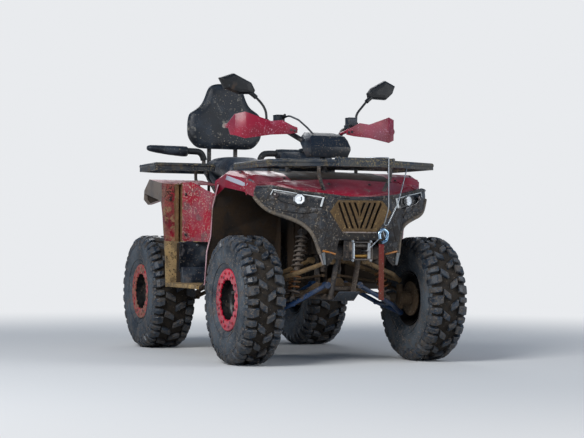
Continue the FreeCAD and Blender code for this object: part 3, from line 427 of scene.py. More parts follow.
def cover(tree: Tree, coord: Socket, share: Pair, patch_mm: float, soft: float, shift: float) -> Socket:
    """Mask of a layer that covers a share of the surface, less of it higher up.

    Args:
        tree: The material's tree.
        coord: Object coordinates.
        share: Cover at the ground and at rack height.
        patch_mm: Size of a patch.
        soft: Half width of the mask's edge, in units of the noise.
        shift: Moves the noise, so that layers differ.

    Returns:
        The mask's output socket.
    """
    place = (shift, shift * 0.7, shift * 1.3)
    moved = node(tree, "ShaderNodeMapping", {"Vector": coord, "Location": place})
    speckle = noise(tree, moved.outputs[0], 1000.0 / patch_mm / 2.0, 5.0, 0.62)
    height = node(tree, "ShaderNodeSeparateXYZ", {0: coord}).outputs[2]
    level = ranged(tree, height, (GRIME_LOW, GRIME_HIGH), share)
    edge = maths(tree, "MULTIPLY_ADD", level, -0.36, 0.68)
    return ranged(tree, maths(tree, "SUBTRACT", speckle, edge), (-soft, soft))


@dataclass(frozen=True)
class Finish:
    """One surface: what it is made of, how it was made, and its dirt."""

    name: str
    colour: str
    second: str
    roughness: float
    metallic: float = 0.0
    ior: float = 1.5
    coat: float = 0.0
    sheen: float = 0.0
    pattern: Pattern = Pattern.MOULDED
    grain_mm: float = 1.5
    depth_mm: float = 0.12
    glow: float = 0.0
    grime: Grime = DUSTY

    def grain(self, tree: Tree, coord: Socket) -> Socket:
        """Height of the surface's own fine pattern, from its size in mm."""
        scale = 1000.0 / self.grain_mm
        if self.pattern is Pattern.LEATHER:
            cells = node(tree, "ShaderNodeTexVoronoi", {"Vector": coord, "Scale": scale},
                         feature="SMOOTH_F1")
            return cells.outputs[0]
        if self.pattern is Pattern.BRUSHED:
            turned_way = node(tree, "ShaderNodeMapping", {"Vector": coord, "Scale": (0.04, 1.0, 1.0)})
            return noise(tree, turned_way.outputs[0], scale, 3.0)
        if self.pattern is Pattern.WOVEN:
            ribs = node(tree, "ShaderNodeTexWave", {"Vector": coord, "Scale": scale / WAVE,
                                                    "Distortion": 0.4}, bands_direction="Z",
                        wave_profile="SIN")
            return ribs.outputs[1]
        return noise(tree, coord, scale, 6.0, 0.7 if self.pattern is Pattern.CAST else 0.5)

    def build(self) -> bpy.types.Material:
        """Make the material: the surface, its fine pattern, then dust, mud and dried flecks."""
        if self.name in bpy.data.materials:
            return bpy.data.materials[self.name]
        material = bpy.data.materials.new(self.name)
        material.use_nodes = True
        material.diffuse_color = linear(self.colour)
        tree = material.node_tree
        tree.nodes.clear()
        coord = node(tree, "ShaderNodeTexCoord").outputs["Object"]
        drift = ranged(tree, noise(tree, coord, 7.0, 4.0), (0.38, 0.66))
        colour = blend(tree, drift, linear(self.colour), linear(self.second))
        dirt = self.grime
        dust = cover(tree, coord, dirt.dust_share, dirt.patch_mm, 0.11, 3.1)
        mud = cover(tree, coord, dirt.mud_share, dirt.patch_mm * 0.45, 0.035, 9.4)
        fleck_field = cover(tree, coord, (dirt.fleck_share, dirt.fleck_share), dirt.fleck_mm, 0.02, 5.2)
        fleck_area = cover(tree, coord, (0.75, 0.55), 90.0, 0.12, 1.7)
        fleck = maths(tree, "MULTIPLY", fleck_field, fleck_area)
        film = maths(tree, "MULTIPLY", dust, 0.66)
        colour = blend(tree, film, colour, linear(dirt.dust))
        mud_tone = noise(tree, coord, 60.0, 4.0)
        colour = blend(tree, mud, colour, blend(tree, mud_tone, linear(dirt.mud), linear(dirt.dust)))
        colour = blend(tree, fleck, colour, linear(dirt.fleck))
        dull = maths(tree, "MAXIMUM", maths(tree, "MAXIMUM", film, mud), fleck)
        rough = ranged(tree, dull, (0.0, 1.0), (self.roughness, DIRT_ROUGHNESS))
        crust = maths(tree, "MULTIPLY_ADD", fleck, 0.4, maths(tree, "MULTIPLY", mud, mud_tone))
        relief = node(tree, "ShaderNodeBump", {"Height": self.grain(tree, coord),
                                               "Distance": self.depth_mm * MM, "Strength": 0.9})
        relief = node(tree, "ShaderNodeBump", {"Height": crust, "Distance": CRUST_MM * MM, "Strength": 0.8,
                                               "Normal": relief.outputs[0]})
        skin = node(tree, "ShaderNodeBsdfPrincipled", {"Base Color": colour, "Roughness": rough,
                                                       "IOR": self.ior, "Coat Weight": self.coat,
                                                       "Coat Roughness": 0.12, "Sheen Weight": self.sheen,
                                                       "Normal": relief.outputs[0]})
        if self.metallic:
            shine = ranged(tree, dull, (0.0, 1.0), (self.metallic, 0.0))
            tree.links.new(shine, skin.inputs["Metallic"])
        if self.glow:
            tree.links.new(colour, skin.inputs["Emission Color"])
            skin.inputs["Emission Strength"].default_value = self.glow
        node(tree, "ShaderNodeOutputMaterial", {0: skin.outputs[0]})
        return material


# ABS with moulded-in crimson and a gloss skin: sharp highlights between the dust patches
CRIMSON = Finish("crimson_gloss_abs", "#8c0626", "#6c041a", 0.36, coat=0.12,
                 grime=Grime(dust="#7c4a52", dust_share=(0.3, 0.14), mud_share=(0.2, 0.03), fleck="#a98a8a",
                             fleck_share=0.16, fleck_mm=4.0))
# The same plastic behind the front wheels: splashes of clay from the ground to the rack
CRIMSON_SPLASHED = Finish("crimson_splashed_abs", "#a30426", "#80061c", 0.36, coat=0.12,
                          grime=Grime(dust="#8d5562", dust_share=(0.3, 0.26), mud="#5b3a2c",
                                      mud_share=(0.4, 0.24), patch_mm=70.0, fleck_share=0.3,
                                      fleck="#b59a8a"))
# Its flange takes the most: ochre clay over crimson, thickest at the bottom
CRIMSON_CAKED = Finish("crimson_caked_abs", "#930525", "#6d081b", 0.45, depth_mm=0.5,
                       grime=Grime(dust="#94705a", dust_share=(0.45, 0.3), mud="#93734a",
                                   mud_share=(0.6, 0.3), patch_mm=45.0, fleck_share=0.5, fleck="#33231a"))
# The same plastic on the hand guards, washed by the wind: pinker and brighter
CRIMSON_CLEAN = Finish("crimson_guard_abs", "#96002c", "#720020", 0.36, coat=0.05,
                       grime=Grime(dust="#8c4a60", dust_share=(0.25, 0.15), mud_share=(0.1, 0.02),
                                   fleck="#c08a9c", fleck_share=0.2, fleck_mm=4.0))
# Polypropylene with a spark-eroded skin: blue-black, no sharp highlight
BLACK_PP = Finish("black_polypropylene", "#121a24", "#1a2533", 0.42,
                  grime=Grime(dust="#5d6670", dust_share=(0.35, 0.12), mud_share=(0.3, 0.04)))
# The same plastic where boots rub it to a grey shine
SCUFFED_PP = Finish("scuffed_polypropylene", "#1b1c1f", "#2b2a29", 0.5, grime=SPLASHED)
# The fascia takes the spray of both front wheels: grey-brown crust over blue-black
FASCIA_PP = Finish("muddy_polypropylene", "#0b1017", "#161d27", 0.36, depth_mm=0.6,
                   grime=Grime(dust="#2f2f30", dust_share=(0.5, 0.2), mud="#241b13", mud_share=(1.0, 0.24),
                               patch_mm=45.0, fleck="#857a6a", fleck_share=0.22, fleck_mm=5.0))
# Lower edges of the fascia's wings: pale dust with a painted highlight along the rim
DUST_AND_HIGHLIGHT_PP = Finish("dusty_polypropylene", "#1d2024", "#2d2f31", 0.5, depth_mm=0.4,
                  grime=Grime(dust="#776c5e", dust_share=(0.75, 0.55), mud="#3a2f23", mud_share=(0.6, 0.4),
                              patch_mm=40.0, fleck="#94887a"))
# Grille insert, ochre with dried clay
GRILLE_PP = Finish("clay_covered_polypropylene", "#2c2115", "#43331d", 0.55,
                   grime=Grime(dust="#6d542f", dust_share=(0.85, 0.8), mud="#33261a", mud_share=(0.7, 0.6),
                               patch_mm=30.0, fleck="#9c8050"))
# Inside the arches: black plastic under a brown film; on other pieces it is painted shade
LINER_AND_SHADE_PP = Finish("arch_liner_polypropylene", "#0c0906", "#1b1107", 0.66,
                  grime=Grime(dust="#35230f", dust_share=(0.75, 0.35), mud="#241808", mud_share=(0.7, 0.35),
                              fleck="#4d3a22", fleck_share=0.06))
# Clay dried on the floor's edge and on the flange above it: pale ochre, no gloss
TAN_MUD = Finish("dried_ochre_clay", "#b0915f", "#8f7146", 0.9, pattern=Pattern.CAST, grain_mm=2.5,
                 depth_mm=0.6,
                 grime=Grime(dust="#a08862", dust_share=(0.6, 0.6), mud="#3d2c1c", mud_share=(0.45, 0.5),
                             patch_mm=60.0, fleck="#2a2018", fleck_share=0.25))
# The gutter between flange and side panel, brown with wet clay
OCHRE_CHANNEL = Finish("wet_ochre_clay", "#6b4a26", "#46301a", 0.7, pattern=Pattern.CAST, grain_mm=2.0,
                       depth_mm=0.4,
                       grime=Grime(dust="#8a6b45", dust_share=(0.4, 0.4), mud="#352413",
                                   mud_share=(0.4, 0.4), patch_mm=50.0))
# Flare of the rear fender: unpainted grey plastic under dust
GREY_FLARE = Finish("dusty_grey_polypropylene", "#4b4746", "#5e5753", 0.62,
                    grime=Grime(dust="#7d7065", dust_share=(0.7, 0.75), mud="#4b3b2c", mud_share=(0.3, 0.2),
                                patch_mm=60.0))
# Foamed vinyl over the seat foam: dull sheen and pebble grain, blue-black
SEAT_VINYL = Finish("black_seat_vinyl", "#101924", "#182535", 0.45, pattern=Pattern.LEATHER, grain_mm=3.0,
                    depth_mm=0.35, sheen=0.1,
                    grime=Grime(dust="#4f5a66", dust_share=(0.25, 0.2), mud_share=(0.1, 0.02),
                                fleck_share=0.14, fleck_mm=4.0))
# The back pad's vinyl, the darkest cloth, with rubbed pale streaks
BACK_VINYL = Finish("back_pad_vinyl", "#070e16", "#0d1824", 0.46, pattern=Pattern.LEATHER, grain_mm=3.0,
                    depth_mm=0.3,
                    grime=Grime(dust="#3b4653", dust_share=(0.2, 0.16), mud="#8f8878",
                                mud_share=(0.04, 0.14), patch_mm=70.0, fleck="#a39a86", fleck_share=0.1,
                                fleck_mm=5.0))
# Powder coat on the tubes of the frame
BLACK_TUBE = Finish("black_powder_coat", "#15181d", "#20252c", 0.4, pattern=Pattern.CAST, grain_mm=0.8,
                    grime=SPLASHED)
# Rack decks: blue-black coat with a crust of dust on top
RACK_COAT = Finish("rack_powder_coat", "#0c151f", "#182634", 0.36, pattern=Pattern.CAST, grain_mm=0.8,
                   grime=Grime(dust="#4c4a45", dust_share=(0.5, 0.26), mud="#453a28", mud_share=(0.5, 0.22),
                               patch_mm=55.0, fleck="#7f7254", fleck_share=0.34))
# Blue powder coat of the lower arms
BLUE_ARM = Finish("blue_powder_coat", "#0f3a66", "#08203a", 0.36, pattern=Pattern.CAST, grain_mm=0.8,
                  grime=Grime(dust="#5b5a58", dust_share=(0.3, 0.25), mud_share=(0.28, 0.1)))
# Steel under dried mud: arms, hubs and drives behind the wheels
MUDDY_STEEL = Finish("mud_covered_steel", "#2e251a", "#43331f", 0.6, pattern=Pattern.CAST, grain_mm=2.0,
                     depth_mm=0.4,
                     grime=Grime(dust="#6e5a42", dust_share=(0.55, 0.5), mud="#3a2919",
                                 mud_share=(0.7, 0.5), patch_mm=60.0))
# Upper arms: the ochre of the field
OCHRE_STEEL = Finish("ochre_covered_steel", "#6d5433", "#57411f", 0.7, pattern=Pattern.CAST, grain_mm=2.0,
                     depth_mm=0.4,
                     grime=Grime(dust="#8a7250", dust_share=(0.6, 0.6), mud="#3a2919", mud_share=(0.5, 0.4),
                                 patch_mm=50.0))
# Bare aluminium castings of the wheel caps
CAST_ALLOY = Finish("cast_aluminium", "#77767a", "#605f62", 0.45, metallic=0.85, pattern=Pattern.CAST,
                    grain_mm=1.2, depth_mm=0.3, grime=DUSTY)
# Engine and gearbox castings, dull under splashes
ENGINE_CASE = Finish("muddy_cast_aluminium", "#3d3a36", "#2b2825", 0.6, metallic=0.5, pattern=Pattern.CAST,
                     grain_mm=1.2, depth_mm=0.3, grime=SPLASHED)
# Zinc plate on bolts, rollers and wire rope
ZINC_STEEL = Finish("zinc_plated_steel", "#b4b9bd", "#949a9f", 0.28, metallic=1.0, pattern=Pattern.BRUSHED,
                    grain_mm=0.6, grime=CLEAN)
# Drop-forged hook, polished by use, with a blue cast
BLUED_STEEL = Finish("polished_forged_steel", "#a7c3da", "#7d9fbc", 0.2, metallic=1.0,
                     pattern=Pattern.BRUSHED, grain_mm=0.6, grime=CLEAN)
# Brass of the lower roller
BRASS_ROLLER = Finish("worn_brass", "#a8803f", "#84602c", 0.36, metallic=0.9, pattern=Pattern.BRUSHED,
                      grain_mm=0.6, grime=CLEAN)
# Grey paint on the upper turns of the springs
SPRING_GREY = Finish("grey_spring_paint", "#33332f", "#25241f", 0.5, pattern=Pattern.CAST, grain_mm=1.0,
                     grime=SPLASHED)
# Their lower turns, rust and clay
SPRING_RUST = Finish("rust_covered_steel", "#8a4d1f", "#6b3a16", 0.7, pattern=Pattern.CAST, grain_mm=1.0,
                     grime=Grime(dust="#8a6238", dust_share=(0.5, 0.5), mud_share=(0.3, 0.3),
                                 patch_mm=40.0))
# Carbon rubber of the walls: grey-blue dried dust with a brown arc; the dark lugs' cool sheen is a painted
# highlight in their own finish
TYRE_WALL = Finish("dusty_tyre_rubber", "#1d242b", "#2a333c", 0.66, pattern=Pattern.RUBBER, grain_mm=2.0,
                   grime=Grime(dust="#5c646b", dust_share=(0.55, 0.5), mud="#4b3a28",
                               mud_share=(0.34, 0.25), patch_mm=60.0, fleck_share=0.18))
# Grooves between the lugs: painted shade between the lugs, with dark soil
GROOVE_SHADE_AND_SOIL = Finish("soil_packed_groove", "#0d0b09", "#17120c", 0.85, pattern=Pattern.RUBBER, grain_mm=3.0,
                     depth_mm=0.6,
                     grime=Grime(dust="#2c2318", dust_share=(0.4, 0.4), mud="#1c140b", mud_share=(0.6, 0.6),
                                 patch_mm=30.0, fleck_share=0.04))
# Lugs: blue-grey and lighter than the grooves, a painted cool highlight; clay in their corners
TYRE_LUG = Finish("tread_rubber", "#161d26", "#26323f", 0.36, pattern=Pattern.RUBBER, grain_mm=2.0,
                  grime=Grime(dust="#545658", dust_share=(0.36, 0.34), mud="#3b2e20",
                              mud_share=(0.42, 0.34), patch_mm=35.0, fleck="#77695a", fleck_share=0.2))
# Gloss black paint of the rims under a film of dust
RIM_BLACK = Finish("black_rim_paint", "#08090a", "#0f1012", 0.4, pattern=Pattern.CAST, grain_mm=0.8,
                   grime=Grime(dust="#3a3430", dust_share=(0.25, 0.25), mud="#2c2118", mud_share=(0.2, 0.2),
                               patch_mm=50.0, fleck_share=0.08))
# Red enamel of the front bead rings
RING_RED = Finish("red_ring_enamel", "#c8002f", "#a00024", 0.32, coat=0.25, pattern=Pattern.CAST,
                  grain_mm=0.8,
                  grime=Grime(dust="#a8607a", dust_share=(0.1, 0.1), mud="#6b3f34", mud_share=(0.22, 0.22),
                              patch_mm=35.0, fleck_share=0.2, fleck_mm=4.0))
# The rear rings run in the front wheels' spray: salmon under brown
RING_MUDDY = Finish("muddy_ring_enamel", "#b81c30", "#9a2024", 0.45, pattern=Pattern.CAST, grain_mm=0.8,
                    grime=Grime(dust="#a0705e", dust_share=(0.5, 0.5), mud="#6b4632",
                                mud_share=(0.42, 0.42), patch_mm=35.0, fleck_share=0.3))
# Shade in bolt pockets, ring slots and between the fins of the radiator
POCKET_BLACK = Finish("ring_pocket_shadow", "#0b0a0b", "#141013", 0.5, grime=CLEAN)
# Rubber of the grips, of the sleeves on the grab arms and on top of the pod
GRIP_RUBBER = Finish("black_grip_rubber", "#0c0f12", "#14181d", 0.6, pattern=Pattern.RUBBER, grime=CLEAN)
# Satin plastic of the pod, the controls and the lamp rims
BLACK_ABS = Finish("black_satin_abs", "#0a1119", "#121c28", 0.36,
                   grime=Grime(dust="#5d6670", dust_share=(0.2, 0.08), mud_share=(0.1, 0.0),
                               fleck_share=0.16, fleck_mm=4.0))
# Mirror housings: the darkest plastic, above the dust
MIRROR_PP = Finish("mirror_housing_abs", "#030508", "#06090d", 0.5,
                   grime=Grime(dust="#1c232b", dust_share=(0.1, 0.1), mud_share=(0.0, 0.0), fleck="#4a5058",
                               fleck_share=0.05, fleck_mm=4.0))
# Nylon webbing of the hook strap, muddy at its lower end
WEBBING = Finish("red_nylon_webbing", "#8a0d12", "#6a080c", 0.75, pattern=Pattern.WOVEN, grain_mm=2.2,
                 depth_mm=0.5, sheen=0.05,
                 grime=Grime(dust="#6b2d1c", dust_share=(0.35, 0.1), mud="#5b2a1c", mud_share=(0.5, 0.0)))
# Amber acrylic of the strips on the legs
ORANGE_LENS = Finish("amber_reflector", "#b87018", "#94560c", 0.3, coat=0.3, grime=DUSTY)
# Red acrylic of the tail lamps
RED_LENS = Finish("red_lamp_lens", "#a30a12", "#7f060c", 0.12, coat=0.8, grime=CLEAN)
# White-pink line along the flares' edges: painted highlight, partly dried mud
EDGE_PALE = Finish("worn_flare_edge", "#d9b3b8", "#b87c88", 0.5,
                   grime=Grime(dust="#a08a80", dust_share=(0.3, 0.3), mud_share=(0.3, 0.1)))
# Trim worn to pale grey: grille sill and bar ends; on the leg edges the pale grey is a painted highlight
PALE_TRIM_AND_HIGHLIGHT = Finish("worn_grey_trim", "#8f8580", "#6c625c", 0.5,
                   grime=Grime(dust_share=(0.4, 0.3), mud_share=(0.3, 0.2), patch_mm=40.0))
# Zinc-grey feet of the legs
GREY_FOOT = Finish("grey_zinc_trim", "#6f777c", "#565c60", 0.4, metallic=0.6, grime=DUSTY)
# Brushed pale foil of the name plates, left blank
BLANK_PLATE = Finish("blank_plate", "#a7a9b4", "#8d8f9b", 0.4, grime=CLEAN)
# Polycarbonate lens of a lamp that is lit
LAMP_WHITE = Finish("lit_lamp_lens", "#dfe2e4", "#b4bac0", 0.12, coat=0.6, glow=0.4,
                    grime=Grime(dust_share=(0.0, 0.0), mud_share=(0.0, 0.0), fleck_share=0.02))
# Smoked acrylic of the side markers
MARKER_GLASS = Finish("smoked_marker_glass", "#3a2c2a", "#2a2220", 0.15, coat=0.5, grime=CLEAN)
# Milky acrylic of the light lines
WHITE_LIGHT = Finish("white_light_pipe", "#cfd3d3", "#aab0b2", 0.2, coat=0.4,
                     grime=Grime(dust_share=(0.1, 0.05), mud_share=(0.05, 0.05), fleck_share=0.1))
# Stainless steel stained by heat
EXHAUST_STEEL = Finish("heat_stained_steel", "#8b8073", "#6f6253", 0.38, metallic=1.0,
                       pattern=Pattern.BRUSHED, grime=SPLASHED)
# Silvered glass of the mirrors, wiped clean
MIRROR_GLASS = Finish("silvered_glass", "#dfe5ea", "#d4dbe1", 0.03, metallic=1.0, grime=SPOTLESS)
# Dark acrylic covers round the lamps
DISPLAY = Finish("dark_glossy_window", "#080b10", "#0c1118", 0.22, coat=0.3, grime=CLEAN)


def dress(piece: Piece, finish: Finish, body: str = "chassis") -> Piece:
    """Give a piece its finish and the body that it rides on.

    Args:
        piece: A finished mesh object.
        finish: Its surface.
        body: The frame's body that carries it.

    Returns:
        The same piece.
    """
    piece.data.materials.clear()
    piece.data.materials.append(finish.build())
    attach(piece, body)
    return piece


def dress_node(name: str, finish: Finish) -> None:
    """Give one of the frame's own solids a finish."""
    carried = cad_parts[name]
    carried.data.materials.clear()
    carried.data.materials.append(finish.build())


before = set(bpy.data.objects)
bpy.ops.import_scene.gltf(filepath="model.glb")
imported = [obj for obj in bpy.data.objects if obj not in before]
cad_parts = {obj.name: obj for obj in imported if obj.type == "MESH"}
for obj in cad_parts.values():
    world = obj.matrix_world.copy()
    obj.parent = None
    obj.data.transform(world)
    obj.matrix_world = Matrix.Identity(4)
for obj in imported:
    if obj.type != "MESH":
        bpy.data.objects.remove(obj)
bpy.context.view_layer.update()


def repeated(piece: Piece, count: int, phase: float = 0.0, step: Point = (0.0, 0.0, 0.0),
             finish: Finish | None = None) -> Piece:
    """Repeat a piece round the X axis, or along a step, by Geometry Nodes.

    Args:
        piece: The template, its place in its mesh; it is used up.
        count: How many copies.
        phase: Angle of the first copy in degrees.
        step: Distance from copy to copy in mm; if it isn't zero the copies go along it.
        finish: The material that Set Material gives.

    Returns:
        One plain mesh with every copy realized.
    """
    name = piece.name
    tree = bpy.data.node_groups.new(f"{name}_repeat", "GeometryNodeTree")
    face = tree.interface
    face.new_socket("Geometry", in_out="INPUT", socket_type="NodeSocketGeometry")
    inputs = {
        "Count": ("NodeSocketInt", count),
        "Turn": ("NodeSocketFloat", 0.0 if any(step) else 2.0 * math.pi / count),
        "Phase": ("NodeSocketFloat", math.radians(phase)),
        "Step": ("NodeSocketVector", tuple(Vector(step) * MM)),
        "Axis": ("NodeSocketVector", (1.0, 0.0, 0.0)),
        "Material": ("NodeSocketMaterial", finish.build() if finish else None),
    }
    sockets = {key: face.new_socket(key, in_out="INPUT", socket_type=kind)
               for key, (kind, _) in inputs.items()}
    face.new_socket("Geometry", in_out="OUTPUT", socket_type="NodeSocketGeometry")
    given = node(tree, "NodeGroupInput").outputs
    line = node(tree, "GeometryNodeMeshLine", {"Count": given["Count"], "Offset": given["Step"]},
                mode="OFFSET")
    index = node(tree, "GeometryNodeInputIndex")
    angle = maths(tree, "MULTIPLY_ADD", index.outputs[0], given["Turn"], given["Phase"])
    turn = node(tree, "ShaderNodeVectorMath", {0: given["Axis"], "Scale": angle}, operation="SCALE")
    copies = node(tree, "GeometryNodeInstanceOnPoints", {"Points": line.outputs[0],
                                                         "Instance": given["Geometry"],
                                                         "Rotation": turn.outputs[0]})
    real = node(tree, "GeometryNodeRealizeInstances", {0: copies.outputs[0]})
    coloured = node(tree, "GeometryNodeSetMaterial", {"Geometry": real.outputs[0],
                                                      "Material": given["Material"]})
    node(tree, "NodeGroupOutput", {0: coloured.outputs[0]})
    modifier = piece.modifiers.new("repeat", "NODES")
    modifier.node_group = tree
    for key, (_, value) in inputs.items():
        modifier[sockets[key].identifier] = value
    return baked(piece)


def placed(piece: Piece, centre: Vector, mirror: bool = False) -> Piece:
    """Move a piece's mesh from the origin to its place, first mirrored across X if asked."""
    if mirror:
        piece.data.transform(Matrix.Scale(-1, 4, Vector((1, 0, 0))))
        piece.data.flip_normals()
    piece.data.transform(Matrix.Translation(centre))
    return piece


def hexagon_bolt(name: str, place: Point, along: Point, across: float = 10.0, height: float = 5.0) -> Piece:
    """A flanged hexagon bolt head, its washer face at a place in mm, pointing along a direction."""
    head = bmesh.new()
    bmesh.ops.create_cone(head, segments=16, cap_ends=True, radius1=across * 0.72 * MM,
                          radius2=across * 0.6 * MM, depth=1.6 * MM)
    top = bmesh.ops.create_cone(head, segments=6, cap_ends=True, radius1=across * 0.56 * MM,
                                radius2=across * 0.5 * MM, depth=height * MM)
    bmesh.ops.translate(head, verts=top["verts"], vec=(0, 0, height * 0.5 * MM))
    mesh = bpy.data.meshes.new(name)
    head.to_mesh(mesh)
    head.free()
    mesh.transform(Vector(along).to_track_quat("Z", "Y").to_matrix().to_4x4())
    return placed(linked(name, mesh), at(*place))


def bolts(name: str, rows: Sequence[tuple[Point, Point]], finish: Finish, across: float,
          body: str = "chassis") -> Piece:
    """Bolt heads at (place, direction) rows as one piece that rides on a body."""
    heads = [hexagon_bolt(f"{name}_{i}", place, along, across) for i, (place, along) in enumerate(rows)]
    return dress(merged(name, heads), finish, body=body)


# ---- wheels


TYRE_WIDTH = {Axle.FRONT: 230.0, Axle.REAR: 270.0}
HALF_TRACK = {Axle.FRONT: 533.0, Axle.REAR: 508.0}


@dataclass
class Wheel:
    """One wheel: lugged tyre, deep black rim, toothed red ring, nuts and hub cap."""

    axle: Axle
    side: Side
    radius: float = 343.0
    lug_height: float = 21.0
    bead: float = 150.0
    pitches: int = 18
    ring_teeth: int = 8
    ring_outer: float = 165.0
    ring_bolts: int = 16
    bolt_circle: float = 143.0
    face_gap: float = 0.3
    bead_inset: float = 27.0
    groove_depth: float = 42.0

    @property
    def width(self) -> float:
        """Tyre width over its walls."""
        return TYRE_WIDTH[self.axle]

    @property
    def tag(self) -> str:
        """The wheel's name, as in front_left."""
        return f"{self.axle.tag}_{self.side.tag}"

    @property
    def centre(self) -> Vector:
        """The wheel's middle in metres."""
        return at(self.side.value * HALF_TRACK[self.axle], self.axle.value, self.radius)

    def carcass_profile(self) -> list[Pair]:
        """Outline of the tyre without its lugs, as (x, radius) from the right bead round to the left."""
        half = self.width / 2.0
        bead, crown = half - self.bead_inset, self.radius - self.lug_height
        right = [(bead - 16.0, self.bead), (bead - 4.0, self.bead), (bead - 1.0, self.ring_outer + 2.0),
                 (half - 13.0, 178.0), (half - 4.0, 200.0), (half, 235.0), (half - 2.0, 268.0),
                 (half - 9.0, 296.0), (half - 24.0, 313.0), (half - 48.0, crown - 1.0),
                 (half - 80.0, crown + 3.0), (0.0, crown + 5.0)]
        return right + [(-x, r) for x, r in right[-2::-1]]

    def lug(self, name: str, rows: Sequence[Station]) -> Piece:
        """One lug at the top of the wheel.

        Args:
            name: The mesh's name.
            rows: Stations across the tyre: x, middle along the tread, half length, top radius; mm.

        Returns:
            A closed block with its sides drawn in towards the top.
        """
        sections = []
        for x, middle, half, top in rows:
            base = top - self.lug_height - 9.0
            ring = []
            for along, r in ((-half - 4.0, base), (half + 4.0, base), (half + 1.0, top - 4.0),
                             (half - 2.5, top), (-half + 2.5, top), (-half - 1.0, top - 4.0)):
                angle = (middle + along) / self.radius
                ring.append(Vector((x, r * math.sin(angle), r * math.cos(angle))) * MM)
            sections.append(ring)
        return lofted(name, sections, smooth=False)

    def tread_rows(self) -> list[list[Station]]:
        """The lugs of one pitch: two on each shoulder, turned over the edge, and two in the middle."""
        half, top = self.width / 2.0, self.radius
        pitch = 2.0 * math.pi * self.radius / self.pitches
        outer = [(half - 66.0, 7.0, 20.0, top), (half - 34.0, 0.0, 25.0, top - 2.0),
                 (half - 14.0, -2.0, 23.0, top - 14.0), (half - 3.0, -2.0, 18.0, top - 38.0)]
        short = [(half - 60.0, 3.0, 13.0, top - 1.0), (half - 34.0, 0.0, 16.0, top - 3.0),
                 (half - 16.0, 0.0, 14.0, top - 17.0), (half - 6.0, 0.0, 11.0, top - 31.0)]
        middle = [(3.0, -15.0, 16.0, top), (30.0, 2.0, 19.0, top), (half - 72.0, 14.0, 17.0, top - 0.5)]
        rows = [outer, [(x, m + pitch / 2.0, h, t) for x, m, h, t in short],
                [(x, m + pitch * 0.28, h, t) for x, m, h, t in middle]]
        mirrored_rows = [[(-x, m + pitch * 0.5, h, t) for x, m, h, t in row] for row in rows]
        return rows + mirrored_rows

    def tyre(self) -> Piece:
        """Carcass with two moulded rings on each wall and the lugs of every pitch."""
        half = self.width / 2.0
        carcass = subdivided(turned("carcass", self.carcass_profile(), 96, closed=False))
        rings = [turned(f"wall_ring_{i}", [(half - d - 1.2, r - 3.0), (half - d + 1.6, r - 1.6),
                                           (half - d + 1.6, r + 1.6), (half - d - 1.2, r + 3.0)], 96)
                 for i, (r, d) in enumerate(((196.0, 5.0), (286.0, 5.5)))]
        rings += [mirrored(ring, f"{ring.name}_other") for ring in list(rings)]
        for piece in [carcass, *rings]:
            piece.data.materials.append(TYRE_WALL.build())
        # Faces low between the lugs get the darker groove finish: painted shade, with soil
        carcass.data.materials.append(GROOVE_SHADE_AND_SOIL.build())
        for face in carcass.data.polygons:
            radius = math.hypot(face.center.y, face.center.z) / MM
            if radius > self.radius - self.groove_depth and abs(face.center.x) / MM < half - 8.0:
                face.material_index = 1
        lugs = [with_bevel(self.lug(f"lug_{i}", rows), 1.6, 1) for i, rows in enumerate(self.tread_rows())]
        tread = repeated(merged("lugs", lugs), self.pitches, finish=TYRE_LUG)
        return merged(f"tread_{self.tag}", [carcass, *rings, tread])

    def rim(self) -> Piece:
        """Black barrel and dish with an outer lip and a hub."""
        half = self.width / 2.0 - self.bead_inset
        outer = self.bead - self.face_gap
        barrel = [(-half, outer), (-half + 6.0, outer - 8.0), (-half + 40.0, outer - 12.0),
                  (half - 46.0, outer - 14.0), (half - 8.0, outer - 6.0), (half, outer - 2.0),
                  (half + 0.5, outer - 18.0), (half - 6.0, outer - 20.0), (half - 40.0, outer - 24.0),
                  (40.0, outer - 22.0), (26.0, outer - 30.0), (20.0, 112.0), (26.0, 84.0), (38.0, 60.0),
                  (38.0, 45.0), (28.0, 40.0), (28.0, 20.0), (-42.0, 20.0), (-42.0, 48.0), (8.0, 52.0),
                  (14.0, 84.0), (8.0, 112.0), (6.0, outer - 20.0), (-half + 40.0, outer - 16.0),
                  (-half + 2.0, outer - 6.0)]
        return turned(f"wheel_dish_{self.tag}", barrel, 64)

    def ring(self) -> Piece:
        """Red ring that clamps the bead: teeth point inwards and pockets hold the bolts."""
        half = self.width / 2.0 - self.bead_inset + self.face_gap
        profile: list[Pair] = []
        for tooth in range(self.ring_teeth):
            for share, inner in ((0.0, 119.0), (0.14, 107.0), (0.24, 105.0), (0.36, 112.0), (0.5, 110.0),
                                 (0.64, 112.0), (0.76, 105.0), (0.86, 107.0)):
                profile.append(((tooth + share) * 2.0 * math.pi / self.ring_teeth, inner))
        loops: list[list[Vector]] = []
        for kind, x in enumerate((half, half, half + 6.0, half + 9.0, half + 9.0, half + 5.5)):
            loop = []
            for angle, inner in profile:
                r = (inner, self.ring_outer, self.ring_outer, self.ring_outer - 4.0, inner + 4.0,
                     inner)[kind]
                loop.append(Vector((x, r * math.sin(angle), r * math.cos(angle))) * MM)
            loops.append(loop)
        plate = lofted("ring_plate", [*loops, loops[0]], smooth=False, ends=False)
        pocket = turned("pocket", [(0.0, 7.0), (2.5, 9.0), (3.5, 9.0), (3.5, 5.0), (0.0, 5.0)], 14)
        pocket.data.transform(Matrix.Translation(Vector((half + 8.2, 0.0, self.bolt_circle)) * MM))
        pockets = repeated(pocket, self.ring_bolts, phase=180.0 / self.ring_bolts)
        return merged(f"bead_ring_{self.tag}", [plate, pockets])

